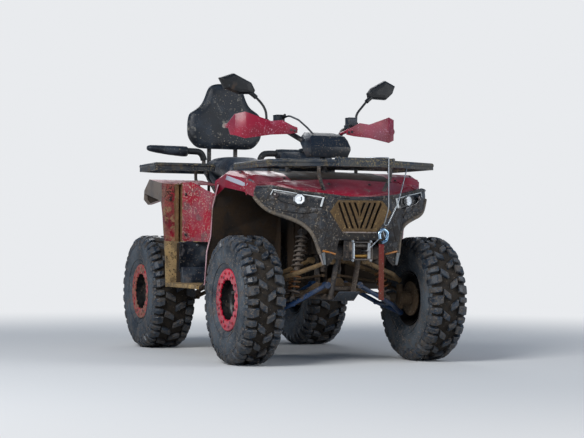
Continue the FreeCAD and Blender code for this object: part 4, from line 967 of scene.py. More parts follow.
    def ring_marks(self) -> Piece:
        """Dark bolt heads in the ring's pockets and the slots between its teeth."""
        half = self.width / 2.0 - self.bead_inset + self.face_gap
        head = hexagon_bolt("ring_bolt", (half + 8.5, -FRONT_AXLE, self.bolt_circle), (1, 0, 0), 8.0, 3.5)
        heads = repeated(head, self.ring_bolts, phase=180.0 / self.ring_bolts)
        slot = prism("ring_slot", [(-5.0, 118.0), (5.0, 118.0), (7.0, 131.0), (0.0, 135.0), (-7.0, 131.0)],
                     half + 7.6, half + 9.5, "side")
        slot.data.transform(Matrix.Translation(Vector((0, -FRONT_AXLE * MM, 0))))
        slots = repeated(slot, self.ring_teeth, phase=180.0 / self.ring_teeth)
        return merged(f"ring_bolts_{self.tag}", [heads, slots])

    def hub(self) -> Piece:
        """Centre cap and four wheel nuts."""
        cap = turned("cap", [(24.0, 0.0), (46.0, 0.0), (45.5, 12.0), (42.0, 22.0), (30.0, 26.0),
                             (24.0, 26.0)], 32, closed=False)
        nut = hexagon_bolt("nut", (38.0, -FRONT_AXLE, 54.0), (1, 0, 0), 17.0, 16.0)
        nuts = repeated(nut, 4, phase=45.0)
        return merged(f"hub_cap_{self.tag}", [cap, nuts])

    def build(self) -> None:
        """Make the wheel's pieces, dress them and report them."""
        body = f"wheel_{self.tag}"
        flip = self.side is Side.RIGHT
        tyre = placed(self.tyre(), self.centre, flip)
        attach(tyre, body)
        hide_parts(f"tyre_{self.tag}")
        for piece, finish in ((self.rim(), RIM_BLACK), (self.ring(), RING_RED),
                              (self.ring_marks(), POCKET_BLACK), (self.hub(), CAST_ALLOY)):
            if finish is RING_RED and self.axle is Axle.REAR:
                finish = RING_MUDDY
            dress(placed(piece, self.centre, flip), finish, body)
            if finish is not POCKET_BLACK:
                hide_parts(f"rim_{self.tag}")
        LOG.info("wheel %s built", self.tag)


# ---- camera, light and floor


@dataclass
class Studio:
    """The photograph's viewing angle, plain soft light and a pale floor."""

    camera_place: Point = (-3696.9, -8758.5, 656.3)
    azimuth: float = 23.242
    pitch: float = 0.783
    roll: float = 0.391
    focal: float = 1620.04
    floor_colour: str = "#c9c9c8"
    floor_reach: float = 90.0
    haze: Pair = (2.2, 6.0)
    backdrop_colour: str = "#e9ebee"
    sky_colour: str = "#b4cff2"
    sky_strength: float = 0.36

    def camera(self) -> None:
        """Set the camera where the photograph was taken from."""
        turn, tip, lean = (math.radians(v) for v in (self.azimuth, self.pitch, self.roll))
        ahead = Vector((math.sin(turn), math.cos(turn), 0.0))
        right = Vector((math.cos(turn), -math.sin(turn), 0.0))
        up = Vector((0.0, 0.0, 1.0))
        sight = ahead * math.cos(tip) + up * math.sin(tip)
        over = up * math.cos(tip) - ahead * math.sin(tip)
        side = right * math.cos(lean) + over * math.sin(lean)
        crown = over * math.cos(lean) - right * math.sin(lean)
        lens = bpy.data.cameras.new("camera")
        lens.sensor_width = SENSOR_WIDTH
        lens.lens = self.focal * SENSOR_WIDTH / PHOTO_WIDTH
        lens.clip_end = 100.0
        eye = linked("camera", lens)
        turned_to = Matrix((side, crown, -sight)).transposed().to_4x4()
        eye.matrix_world = Matrix.Translation(Vector(self.camera_place) * MM) @ turned_to
        bpy.context.scene.camera = eye

    def lamp(self, name: str, place: Point, power: float, size: float) -> None:
        """Add a soft square lamp in metres that looks at the machine's middle."""
        data = bpy.data.lights.new(name, "AREA")
        data.energy = power
        data.size = size
        made = linked(name, data)
        made.location = place
        made.rotation_euler = (Vector((0.0, 0.0, 0.7)) - Vector(place)).to_track_quat("-Z", "Y").to_euler()

    def backdrop(self, tree: Tree, lit: Socket, pale: Socket) -> Socket:
        """Show the pale colour to the camera and through glass, and the lit one elsewhere."""
        rays = node(tree, "ShaderNodeLightPath")
        seen = maths(tree, "MAXIMUM", rays.outputs["Is Camera Ray"], rays.outputs["Is Transmission Ray"])
        mixed = node(tree, "ShaderNodeMixShader", {0: seen, 1: lit, 2: pale})
        return mixed.outputs[0]

    def build(self) -> None:
        """Make camera, lamps, world and floor."""
        self.camera()
        self.lamp("key", (-5.0, -4.0, 4.2), 360.0, 3.0)
        self.lamp("fill", (5.0, -5.0, 2.6), 170.0, 4.0)
        self.lamp("back", (1.5, 6.0, 4.5), 220.0, 4.0)
        world = bpy.data.worlds.new("studio")
        bpy.context.scene.world = world
        world.use_nodes = True
        tree = world.node_tree
        tree.nodes.clear()
        lit = node(tree, "ShaderNodeBackground", {"Color": linear(self.sky_colour),
                                                  "Strength": self.sky_strength})
        pale = node(tree, "ShaderNodeBackground", {"Color": linear(self.backdrop_colour), "Strength": 1.0})
        node(tree, "ShaderNodeOutputWorld", {0: self.backdrop(tree, lit.outputs[0], pale.outputs[0])})
        reach = self.floor_reach
        corners = [Vector((x, y, 0.0)) for x, y in ((-reach, -reach), (reach, -reach), (reach, reach),
                                                    (-reach, reach))]
        floor = new_mesh("floor", corners, [(0, 1, 2, 3)], False)
        pale_floor = bpy.data.materials.new("pale_studio_floor")
        pale_floor.use_nodes = True
        tree = pale_floor.node_tree
        tree.nodes.clear()
        matt = node(tree, "ShaderNodeBsdfDiffuse", {"Color": linear(self.floor_colour), "Roughness": 0.6})
        distance = node(tree, "ShaderNodeEmission", {"Color": linear(self.backdrop_colour),
                                                     "Strength": 1.0})
        coord = node(tree, "ShaderNodeTexCoord").outputs["Object"]
        away = node(tree, "ShaderNodeVectorMath", {0: coord}, operation="LENGTH").outputs["Value"]
        far = node(tree, "ShaderNodeMapRange", {0: away, 1: self.haze[0], 2: self.haze[1], 3: 0.0, 4: 1.0},
                   interpolation_type="SMOOTHSTEP")
        ground = node(tree, "ShaderNodeMixShader", {0: far.outputs[0], 1: matt.outputs[0],
                                                    2: distance.outputs[0]})
        node(tree, "ShaderNodeOutputMaterial", {0: ground.outputs[0]})
        floor.data.materials.append(pale_floor)
        bpy.context.scene.view_settings.view_transform = "Standard"
        LOG.info("camera, lamps and floor set")


class Carried:
    """Solids of the frame that keep their shape and only get a finish."""

    finishes: dict[str, Finish] = {
        "frame": BLACK_TUBE, "engine_block": ENGINE_CASE, "skid_plate": BLACK_PP,
        "differentials": MUDDY_STEEL, "front_lower_arms": BLUE_ARM, "front_upper_arms": OCHRE_STEEL,
        "rear_arms": MUDDY_STEEL, "rear_hubs": MUDDY_STEEL, "springs": SPRING_GREY,
        "dampers": BLACK_TUBE, "half_shafts": MUDDY_STEEL, "knuckle_left": MUDDY_STEEL,
        "knuckle_right": MUDDY_STEEL, "tie_rod_left": MUDDY_STEEL, "tie_rod_right": MUDDY_STEEL,
        "handlebar": BLACK_TUBE, "instrument_pod": BLACK_ABS, "hand_guards": CRIMSON_CLEAN,
        "mirrors": MIRROR_PP, "controls": BLACK_ABS, "front_cladding": FASCIA_PP, "grille": GRILLE_PP,
        "headlights": DISPLAY, "front_bodywork": CRIMSON, "footwells": LINER_AND_SHADE_PP,
        "rear_fenders": CRIMSON, "side_panels": BLACK_PP, "seat_front": SEAT_VINYL,
        "seat_rear": SEAT_VINYL, "backrest_pads": SEAT_VINYL, "backrest_frame": BLACK_TUBE,
        "front_rack": RACK_COAT, "rear_rack": RACK_COAT, "winch": BLACK_TUBE, "winch_rope": ZINC_STEEL,
        "winch_hook": BLUED_STEEL, "hook_strap": WEBBING, "tail_lights": RED_LENS,
        "exhaust": EXHAUST_STEEL,
    }

    def build(self) -> None:
        """Give every solid its finish; pieces made later stand for some of them."""
        for name, finish in self.finishes.items():
            dress_node(name, finish)
        for axle in Axle:
            for side in Side:
                tag = f"{axle.tag}_{side.tag}"
                dress_node(f"tyre_{tag}", TYRE_WALL)
                dress_node(f"rim_{tag}", RIM_BLACK)
        LOG.info("frame solids finished")


# ---- shaping tools


def painted(piece: Piece, finish: Finish, chosen: Callable[[Vector, Vector], bool]) -> None:
    """Give the chosen faces of a piece another finish.

    Args:
        piece: A dressed piece.
        finish: The other finish.
        chosen: Says yes for a face's middle, in mm from the front axle, and its normal.
    """
    piece.data.materials.append(finish.build())
    place = len(piece.data.materials) - 1
    for face in piece.data.polygons:
        middle = face.center / MM - Vector((0.0, FRONT_AXLE, 0.0))
        if chosen(middle, face.normal):
            face.material_index = place


def scored(piece: Piece, cuts: Sequence[tuple[Point, Point]]) -> None:
    """Cut the faces of a piece along planes, given as a place in mm and a direction, and keep all."""
    shell = bmesh.new()
    shell.from_mesh(piece.data)
    for place, across in cuts:
        bmesh.ops.bisect_plane(shell, geom=[*shell.verts, *shell.edges, *shell.faces], plane_co=at(*place),
                               plane_no=Vector(across))
    shell.to_mesh(piece.data)
    shell.free()


def between(table: Sequence[Pair], value: float) -> float:
    """Read a table of (value, result) pairs at a value, in straight lines between its rows."""
    rows = sorted(table)
    for (a, b), (c, d) in zip(rows, rows[1:]):
        if value <= c:
            return b + (d - b) * (value - a) / (c - a)
    return rows[-1][1]


def shell_of(node_name: str, name: str, finish: Finish, width: float = 1.5,
             body: str = "chassis") -> Piece:
    """Round a frame solid's edges as a new piece and dress it."""
    return dress(softened(node_name, name, width), finish, body)


def laid_on(piece: Piece, ground: Piece, lift: float, wall: float) -> Piece:
    """Press a thin patch onto another piece's surface and give it a wall, both in mm."""
    press = piece.modifiers.new("press", "SHRINKWRAP")
    press.target = ground
    press.offset = lift * MM
    press.wrap_mode = "ABOVE_SURFACE"
    thick = piece.modifiers.new("wall", "SOLIDIFY")
    thick.thickness = wall * MM
    return baked(piece)


def patch(name: str, corners: Sequence[Vector], steps: int = 8) -> Piece:
    """A grid of faces between four corners in metres."""
    points = []
    for i in range(steps + 1):
        for j in range(steps + 1):
            low = corners[0].lerp(corners[1], i / steps)
            high = corners[3].lerp(corners[2], i / steps)
            points.append(low.lerp(high, j / steps))
    row = steps + 1
    faces = [(i * row + j, i * row + j + 1, (i + 1) * row + j + 1, (i + 1) * row + j) for i in range(steps)
             for j in range(steps)]
    return new_mesh(name, points, faces)


def stuffed(cage: Piece, finish: Finish, stands_for: str, swell: float,
            voxel: float = 6.0) -> Piece:
    """Sew a cushion: remesh its cage and blow its cover up by a cloth simulation.

    Args:
        cage: The closed form, a little smaller than the finished cushion.
        finish: Its cover.
        stands_for: The frame's plain solid that it replaces.
        swell: The most that a point may move, in mm.
        voxel: Size of the remeshed faces in mm.

    Returns:
        The finished cushion.
    """
    grid = cage.modifiers.new("grid", "REMESH")
    grid.mode = "VOXEL"
    grid.voxel_size = voxel * MM
    piece = baked(cage)
    rest = [point.co.copy() for point in piece.data.vertices]
    cloth = piece.modifiers.new("cover", "CLOTH")
    cloth.settings.use_pressure = True
    cloth.settings.uniform_pressure_force = 4.0
    cloth.settings.quality = 4
    cloth.settings.mass = 0.3
    cloth.settings.effector_weights.gravity = 0.0
    cloth.settings.tension_stiffness = 20.0
    cloth.settings.compression_stiffness = 20.0
    cloth.collision_settings.use_collision = False
    cloth.point_cache.frame_start = 1
    cloth.point_cache.frame_end = CLOTH_FRAMES
    for frame in range(1, CLOTH_FRAMES + 1):
        bpy.context.scene.frame_set(frame)
    piece = baked(piece)
    bpy.context.scene.frame_set(1)
    for point, start in zip(piece.data.vertices, rest):
        moved = point.co - start
        if moved.length > swell * MM:
            point.co = start + moved.normalized() * swell * MM
    if len(piece.data.polygons) < FINE_ENOUGH:
        piece = subdivided(piece)
    for face in piece.data.polygons:
        face.use_smooth = True
    dress(piece, finish)
    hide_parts(stands_for)
    return piece


# ---- bodywork


# Rear edge of the front flares from below, as (y, z)
FLARE_EDGE = ((456, 411), (446, 415), (418, 594), (357, 683), (329, 846), (247, 960))
# The fascia's wall seen from above, as (x, y)
CLADDING_PLAN = ((60, -300), (101, -300), (180, -318), (226, -306), (290, -232), (440, -160), (512, -70))


@dataclass
class Nose:
    """Red nose and front fenders: shell with painted shade underneath and under the rack, pale flare edges
    of painted highlight and dried mud, corners, blank plates.
    """

    half_width: float = 590.0
    # Bounds of the front rack's painted shadow on the hood, in mm
    hood_y: float = -84.0
    hood_x: float = 300.0
    plate: tuple[Point, ...] = ((-572, 186, 987), (-520, 22, 941), (-513, 8, 963), (-569, 174, 1009))
    corner: tuple[tuple[Point, Point], ...] = (((388, -124, 961), (424, -126, 944)),
                                               ((350, -92, 975), (456, -88, 958)),
                                               ((345, -58, 987), (484, -44, 960)),
                                               ((385, -30, 999), (503, 0, 989)),
                                               ((462, 14, 1011), (516, 30, 1003)))

    def build(self) -> None:
        """Make the pieces of the nose."""
        shell = shell_of("front_bodywork", "nose_shell", CRIMSON, 2.5)
        # Cut the shell where the rack's painted shadow on the hood ends
        scored(shell, [((0, self.hood_y, 0), (0, 1, 0)), ((self.hood_x, 0, 0), (1, 0, 0)),
                       ((-self.hood_x, 0, 0), (1, 0, 0))])
        # Painted shade: every face of the red shell that looks down gets the dark finish
        painted(shell, LINER_AND_SHADE_PP, lambda middle, normal: normal.z < -0.3)
        # Painted shadow of the front rack: the hood's upward faces behind hood_y and within hood_x are dark
        painted(shell, LINER_AND_SHADE_PP, lambda middle, normal: normal.z > 0.3 and middle.y > self.hood_y
                and abs(middle.x) < self.hood_x)
        # Painted shade: the flare's outer strip behind its pale edge is dark, like the shaded arch
        painted(shell, LINER_AND_SHADE_PP, lambda middle, normal: abs(middle.x) > self.half_width - 16
                and middle.y > 236 and middle.z < 955)
        # Pale lines along the flares' edges: painted highlight, partly dried mud
        edges = []
        for side in Side:
            line = [at(side.value * (self.half_width + 1.0), y, z) for y, z in FLARE_EDGE]
            edges.append(bar(f"flare_line_{side.name}", line, 4.0, False, 3))
        dress(merged("flare_edges", edges), EDGE_PALE)
        for side in Side:
            lower = ((-529, 52, 950), (-529, 52, 930), (-518, 19, 910), (-486, -33, 886), (-486, -33, 952),
                     (-518, 19, 950))
            loops = [[at(-side.value * (x + inset), y + inset, z) for x, y, z in lower]
                     for inset in (-2.0, 3.0)]
            tip = with_bevel(lofted(f"flare_tip_{side.tag}", loops, smooth=False), 1.0)
            dress(tip, CRIMSON)
            rows = [[at(side.value * x, y, z + lift)
                     for (x, y, z), lift in zip((*row, *row[::-1]), (0.5, 0.5, -3.0, -3.0))]
                    for row in self.corner]
            filler = with_bevel(lofted(f"nose_corner_{side.tag}", rows, smooth=False), 1.0)
            dress(filler, CRIMSON)
            corners = [at(-side.value * x, y, z) for x, y, z in self.plate]
            made = laid_on(patch(f"blank_plate_{side.tag}", corners), shell, 0.6, 1.2)
            dress(made, BLANK_PLATE)
        rows = [((side * x, y, z), (side * nx, ny, nz)) for side in (1, -1)
                for x, y, z, nx, ny, nz in ((512, 120, 1024, 0.25, -0.1, 1), (330, -60, 992, 0.1, -0.4, 1),
                                            (120, -170, 962, 0.0, -0.4, 1))]
        bolts("nose_bolts", rows, BLACK_TUBE, 12.0)
        LOG.info("nose built")


@dataclass
class Fascia:
    """Dark fascia: wings and legs with their lips, grille, lamps, reflectors and worn pale edges that carry
    a painted highlight.
    """

    light_line: tuple[Pair, ...] = ((450, 903), (436, 930), (320, 910), (208, 887))

    def on_wall(self, x: float, z: float, lift: float) -> Vector:
        """A place in metres on the fascia's wall at x and z in mm, lifted forwards."""
        return at(x, between(CLADDING_PLAN, abs(x)) - lift, z)

    def lamp(self, side: Side) -> None:
        """Lens cover, light line, faceted reflector and side marker of one lamp."""
        tag, sign = side.tag, side.value
        line = [self.on_wall(sign * (x - 3 if i == 0 else x), z - 4, -1.0)
                for i, (x, z) in enumerate(self.light_line)]
        pipe = bar(f"light_line_{tag}", line, 3.2, False, 4)
        end = [self.on_wall(sign * (x + 7), z, -1.5) for x, z in ((206, 884), (212, 862), (219, 838))]
        block = bar("light_end", end, 5.6, False, 4)
        dress(merged(f"light_pipe_{tag}", [pipe, block]), WHITE_LIGHT)
        facets = []
        centre = Vector((sign * 321.0, -236.0, 877.0))
        for ring, (radius, depth) in enumerate(((31.0, 4.0), (28.0, -5.0), (24.0, 1.0), (15.0, 5.0),
                                                (9.0, -4.0))):
            loop = []
            for step in range(8):
                angle = math.pi / 8 + step * math.pi / 4 + (math.pi / 8 if ring > 2 else 0.0)
                across, up = radius * math.cos(angle), radius * math.sin(angle) * 0.95
                loop.append(at(centre.x + across * 0.9, centre.y + depth + sign * across * 0.43,
                               centre.z + up))
            facets.append(loop)
        lens = lofted(f"lamp_lens_{tag}", facets, smooth=False)
        dress(lens, LAMP_WHITE)
        rim = [facet + (facet - at(centre.x, centre.y, centre.z)) * 0.1 for facet in facets[1]]
        dress(bar(f"lamp_rim_{tag}", rim + rim[:1], 3.0, False, 4), BLACK_ABS)
        marker = turned(f"side_marker_{tag}", [(0.0, 0.0), (5.0, 0.0), (4.0, 12.0), (0.0, 15.0)], 24,
                        closed=False)
        marker.data.transform(Matrix.Rotation(math.radians(-60.0 if sign > 0 else -120.0), 4, "Z"))
        placed(marker, self.on_wall(sign * 425, 896, 0.0))
        dress(marker, MARKER_GLASS)

    def lips(self) -> None:
        """Thick moulded lips: along the wings' lower edge, the legs and over the lamps."""
        under = ((508, 890), (494, 862), (462, 822), (424, 800), (372, 782), (324, 762), (284, 736),
                 (258, 700), (242, 650), (228, 590))
        over = ((500, 940), (452, 942), (380, 930), (300, 914), (214, 898), (150, 890), (60, 886))
        crease = ((470, 842), (420, 826), (360, 812), (300, 806), (250, 812), (206, 806), (186, 770),
                  (196, 720), (214, 660))
        made = []
        for side in Side:
            for name, line, radius, lift in (("under", under, 11.0, -2.0), ("over", over, 6.5, -1.0),
                                             ("crease", crease, 5.0, 0.0)):
                points = [self.on_wall(side.value * x, z, lift) for x, z in line]
                made.append(bar(f"{name}_{side.name}", points, radius, True, 4))
        # The wings' lower lips are pale: dust with a painted rim highlight
        dress(merged("fascia_edges", made[::3]), DUST_AND_HIGHLIGHT_PP)
        dress(merged("fascia_lips", made[1::3] + made[2::3]), FASCIA_PP)

    def build(self) -> None:
        """Make the fascia, its lamps, grille bar and small parts."""
        self.lips()
        wall = shell_of("front_cladding", "fascia", FASCIA_PP, 3.0)
        painted(wall, LINER_AND_SHADE_PP, lambda middle, normal: normal.y > 0.2)
        insert = shell_of("grille", "grille_insert", GRILLE_PP, 1.5)
        # Painted shade: the slats' sides and undersides are dark, so the slots look deep
        painted(insert, LINER_AND_SHADE_PP, lambda middle, normal: abs(normal.y) < 0.6 and normal.z < 0.9)
        shell_of("headlights", "lamp_covers", DISPLAY, 1.2)
        for side in Side:
            self.lamp(side)
        sill = bar("grille_sill", [self.on_wall(x, 704, 2.0) for x in (-98, -40, 40, 98)], 4.0, False, 4)
        dress(sill, PALE_TRIM_AND_HIGHLIGHT)
        strips, ends, plates = [], [], []
        for side in Side:
            sign = side.value
            line = [self.on_wall(sign * x, z, 2.0) for x, z in ((218, 606), (186, 600), (146, 590))]
            strips.append(bar(f"amber_{side.name}", line, 5.0, False, 3))
            # The legs' outer edges: pale trim that stands for a painted rim highlight
            edge = [self.on_wall(sign * x, z, 0.0) for x, z in ((318, 756), (276, 728), (250, 668),
                                                                (229, 590), (212, 533))]
            ends.append(bar(f"leg_edge_{side.name}", edge, 6.0, False, 4))
            foot = [(side.value * x, z) for x, z in ((210, 600), (228, 594), (214, 534), (202, 534))]
            plates.append(prism(f"leg_foot_{side.name}", foot, -323, -312, "front"))
        dress(merged("amber_strips", strips), ORANGE_LENS)
        dress(merged("leg_edges", ends), PALE_TRIM_AND_HIGHLIGHT)
        dress(with_bevel(merged("leg_feet", plates), 2.0), GREY_FOOT)
        rows = [((side * x, between(CLADDING_PLAN, x) - 1, z), (side * 0.3, -1, 0)) for side in (1, -1)
                for x, z in ((132, 690), (170, 640), (192, 836), (300, 790))]
        bolts("fascia_bolts", rows, BLACK_TUBE, 11.0)
        LOG.info("fascia built")


@dataclass
class InnerShrouds:
    """Black covers inside the arches, above the arms, and the radiator's core between them."""

    x: float = 143.0
    outline: tuple[Pair, ...] = ((-250, 872), (-262, 700), (-236, 640), (-186, 596), (-150, 588),
                                 (136, 588), (190, 500), (250, 440), (318, 430), (340, 600), (520, 660),
                                 (520, 872), (120, 884), (-120, 884))

    def build(self) -> None:
        """Make a ribbed cover on each side and the core with its fins."""
        for side in Side:
            sign, tag = side.value, side.tag
            plate = prism("plate", self.outline, *sorted((sign * (self.x - 4), sign * self.x)), "side")
            low, high = sorted((sign * (self.x - 1), sign * (self.x + 9)))
            ribs = []
            for index in range(6):
                start = -200 + index * 84
                outline = [(start, 610), (start + 12, 610), (start + 30, 868), (start + 18, 868)]
                ribs.append(prism(f"rib_{index}", outline, low, high, "side"))
            cover_plate = with_bevel(merged(f"inner_shroud_{tag}", [plate, *ribs]), 2.0)
            dress(cover_plate, LINER_AND_SHADE_PP)
        core = prism("core", [(-132, 706), (132, 706), (132, 872), (-132, 872)], -172, -150, "front")
        fin = prism("fin", [(-131, 712), (-131, 715), (131, 715), (131, 712)], -176, -171, "front")
        fins = repeated(fin, 16, step=(0.0, 0.0, 10.0), finish=POCKET_BLACK)
        dress(merged("radiator_core", [core, fins]), POCKET_BLACK)
        LOG.info("inner shrouds built")


@dataclass
class Footwells:
    """Both footwells: muddy shells, floor ribs, heel steps and black heel guards."""

    floor: float = 393.0

    def build(self) -> None:
        """Make shells, ribs, steps and guards."""
        shell = shell_of("footwells", "footwell_shells", LINER_AND_SHADE_PP, 2.0)
        scored(shell, [((0, 560, 0), (0, 1, 0))])
        painted(shell, TAN_MUD, lambda middle, normal: middle.z < 415 and middle.y > 545)
        for side in Side:
            sign, tag = side.value, side.tag
            section = [(590, self.floor), (602, self.floor), (600, self.floor + 5), (592, self.floor + 5)]
            rib = prism(f"floor_ribs_{tag}", section, *sorted((sign * 224, sign * 560)), "side")
            ribs = repeated(rib, 15, step=(0.0, 29.0, 0.0), finish=SCUFFED_PP)
            dress(ribs, SCUFFED_PP)
            outline = [(1040, 400), (1084, 400), (1086, 492), (1078, 500), (1064, 494), (1042, 424)]
            heel_step = prism(f"heel_step_{tag}", outline, *sorted((sign * 236, sign * 510)), "side")
            dress(with_bevel(heel_step, 3.0), BLACK_PP)
            guard = [(sign * x, z) for x, z in ((236, 462), (508, 462), (520, 480), (514, 640), (470, 652),
                                                (250, 652), (232, 630))]
            plate = with_bevel(prism(f"heel_guard_{tag}", guard, 1084, 1097, "front"), 4.0, 3)
            dress(plate, BLACK_ABS)
        rows = [((side * x, 1084, 629), (0, -1, 0)) for x in (404, 300) for side in (1, -1)]
        bolts("heel_bolts", rows, ZINC_STEEL, 14.0)
        LOG.info("footwells built")


@dataclass
class RearFenders:
    """Rear fenders: splashed flange and side panel, dusty flare with painted shade in its recess."""

    recess_x: float = 569.0
    flange_x: float = 532.0
    gutter_x: float = 488.0
    flare_y: float = 1206.0
    caked_z: float = 652.0

    def build(self) -> None:
        """Make the shells, paint their parts, and add their bolts and the tail lamps."""
        shell = shell_of("rear_fenders", "rear_fender_shells", CRIMSON_SPLASHED, 2.5)
        scored(shell, [((0, self.flare_y, 0), (0, 1, 0)), ((0, 0, self.caked_z), (0, 0, 1)),
                       ((self.flange_x, 0, 0), (1, 0, 0)), ((-self.flange_x, 0, 0), (1, 0, 0))])

        def recess(middle: Vector, normal: Vector) -> bool:
            """The flare's inside, dark with painted shade."""
            return abs(middle.x) < self.recess_x + 1 and middle.y > self.flare_y + 4 and normal.z < 0.3

        def flare(middle: Vector, normal: Vector) -> bool:
            """The flare's outside, above the side panel."""
            return middle.y > self.flare_y and middle.z > 890 and abs(middle.x) > self.recess_x + 2

        def flange(middle: Vector, normal: Vector) -> bool:
            """The upright flange in front of the flare."""
            return abs(middle.x) > self.flange_x and middle.z > self.caked_z and middle.y < self.flare_y - 6

        def foot(middle: Vector, normal: Vector) -> bool:
            """The lowest part, next to the floor."""
            return middle.z < self.caked_z and middle.y > 1060

        def gutter(middle: Vector, normal: Vector) -> bool:
            """The gutter between flange and side panel."""
            return (self.gutter_x < abs(middle.x) < self.flange_x and middle.z > self.caked_z
                    and middle.y < self.flare_y - 6)

        for finish, chosen in ((LINER_AND_SHADE_PP, recess), (GREY_FLARE, flare), (CRIMSON_CAKED, flange),
                               (TAN_MUD, foot), (OCHRE_CHANNEL, gutter)):
            painted(shell, finish, chosen)
        rows = [((side * x, y, z), (side * nx, ny, 0)) for side in (1, -1)
                for x, y, z, nx, ny in ((560, 1133, 900, 0, -1), (470, 1113, 930, 0, -1),
                                        (470, 1113, 690, 0, -1))]
        bolts("fender_bolts", rows, BLACK_TUBE, 12.0)
        shell_of("tail_lights", "tail_lamps", RED_LENS, 3.0)
        LOG.info("rear fenders built")


@dataclass
class CentreBody:
    """Dark tank cover and side panels, fuel cap and the exhaust's mouth."""

    def build(self) -> None:
        """Make the panels, the cap and the mouth."""
        shell_of("side_panels", "centre_panels", BLACK_PP, 3.0)
        cap = turned("fuel_cap", [(0.0, 0.0), (24.0, 0.0), (24.0, 26.0), (18.0, 34.0), (0.0, 36.0)], 40,
                     closed=False)
        cap.data.transform(Matrix.Rotation(math.radians(-90.0), 4, "Y"))
        placed(cap, at(0, 428, 1160))
        dress(cap, BLACK_ABS)
        ring = turned("exhaust_mouth", [(0.0, 30.0), (9.0, 30.0), (9.0, 22.0), (0.0, 22.0)], 32)
        ring.data.transform(Matrix.Rotation(math.radians(90.0), 4, "Z"))
        placed(ring, at(-132, 1770, 716))
        dress(ring, EXHAUST_STEEL)
        LOG.info("centre body built")


# ---- seats


@dataclass
class Seats:
    """Two seat pads, the back pad and the padded grab arms, each a stuffed cushion."""

    backrest: tuple[Pair, ...] = ((0, 1668), (60, 1667), (92, 1659), (112, 1641), (128, 1608), (146, 1556),
                                  (176, 1510), (222, 1484), (246, 1464), (255, 1436), (259, 1390),
                                  (258, 1334), (250, 1302), (226, 1270), (200, 1248), (176, 1238),
                                  (110, 1236), (0, 1236))
    front: tuple[Station, ...] = ((486, 118, 992, 1056), (500, 140, 986, 1052), (560, 144, 955, 1012),
                                  (640, 144, 928, 992), (760, 144, 926, 984), (900, 144, 928, 982),
                                  (1040, 144, 931, 992), (1140, 144, 934, 1010), (1200, 142, 970, 1044),
                                  (1236, 132, 1000, 1076), (1244, 110, 1012, 1076))
    rear: tuple[Station, ...] = ((1268, 112, 1020, 1108), (1280, 136, 1020, 1126), (1330, 144, 1024, 1160),
                                 (1420, 144, 1034, 1172), (1520, 144, 1050, 1174), (1620, 144, 1080, 1174),
                                 (1690, 138, 1108, 1168), (1708, 116, 1118, 1154))

    def back_pad(self) -> None:
        """Bell-shaped back pad with a crowned face and a welted rim."""
        half = self.backrest
        outline = list(half) + [(-x, z) for x, z in half[-2:0:-1]]
        loops = []
        for share, y in ((0.34, 1683), (0.74, 1680), (0.92, 1684), (0.985, 1694), (1.0, 1712), (0.99, 1730),
                         (0.92, 1740), (0.5, 1741)):
            loops.append([at(x * share, y, 1420 + (z - 1420) * share) for x, z in outline])
        cage = subdivided(lofted("back_pad", loops))
        stuffed(cage, BACK_VINYL, "backrest_pads", swell=6.0)
        welt = [at(x * 0.945, 1694, 1424 + (z - 1424) * 0.955) for x, z in outline]
        dress(bar("back_welt", welt + welt[:2], 2.6, True, 3), BACK_VINYL)

    def grab_pads(self) -> None:
        """Soft sleeves on the grab arms, thick at the frame and round at the tip."""
        for side in Side:
            sign = side.value
            loops = []
            for x, y, z, across, up in ((300, 1573, 1213, 24, 24), (303, 1573, 1213, 31, 32),
                                        (332, 1576, 1214, 32, 34), (420, 1590, 1219, 30, 30),
                                        (500, 1600, 1226, 28, 25), (540, 1606, 1230, 25, 20),
                                        (554, 1607, 1230, 16, 13)):
                loop = []
                for step in range(12):
                    angle = 2 * math.pi * step / 12
                    loop.append(at(sign * x, y + across * math.cos(angle), z + up * math.sin(angle)))
                loops.append(loop)
            cage = lofted(f"grab_pad_{side.tag}", loops)
            stuffed(cage, BACK_VINYL, "backrest_pads", swell=4.0, voxel=5.0)
            line = [at(sign * x, 1573, z)
                    for x, z in ((297, 1216), (236, 1216), (212, 1208), (194, 1184), (190, 1160))]
            sleeve = bar(f"grab_sleeve_{side.tag}", line, 20.0, True, 8)
            dress(sleeve, GRIP_RUBBER)

    def seat_pad(self, name: str, rows: Sequence[Station], stands_for: str) -> None:
        """A saddle-shaped pad.

        Args:
            name: The piece's name.
            rows: Stations: y, half width, height of the base, height of the top; mm.
            stands_for: The plain solid that it replaces.
        """
        loops = []
        for y, half, base, top in rows:
            mid = base + (top - base) * 0.45
            section = [(half * 0.5, base), (half * 0.93, base + 1), (half, mid),
                       (half * 0.97, top - (top - base) * 0.25), (half * 0.78, top - 3), (half * 0.35, top)]
            loops.append([at(x, y, z) for x, z in section + [(-x, z) for x, z in section[::-1]]])
        cage = subdivided(lofted(name, loops))
        stuffed(cage, SEAT_VINYL, stands_for, swell=9.0)

    def build(self) -> None:
        """Make every cushion."""
        self.seat_pad("front_seat_pad", self.front, "seat_front")
        self.seat_pad("rear_seat_pad", self.rear, "seat_rear")
        self.back_pad()
        self.grab_pads()
        rows = [((side * 90, 1741, z), (0, 1, 0)) for side in (1, -1) for z in (1290, 1460)]
        bolts("back_pad_bolts", rows, ZINC_STEEL, 12.0)
        LOG.info("seats built")


# ---- racks, winch and suspension


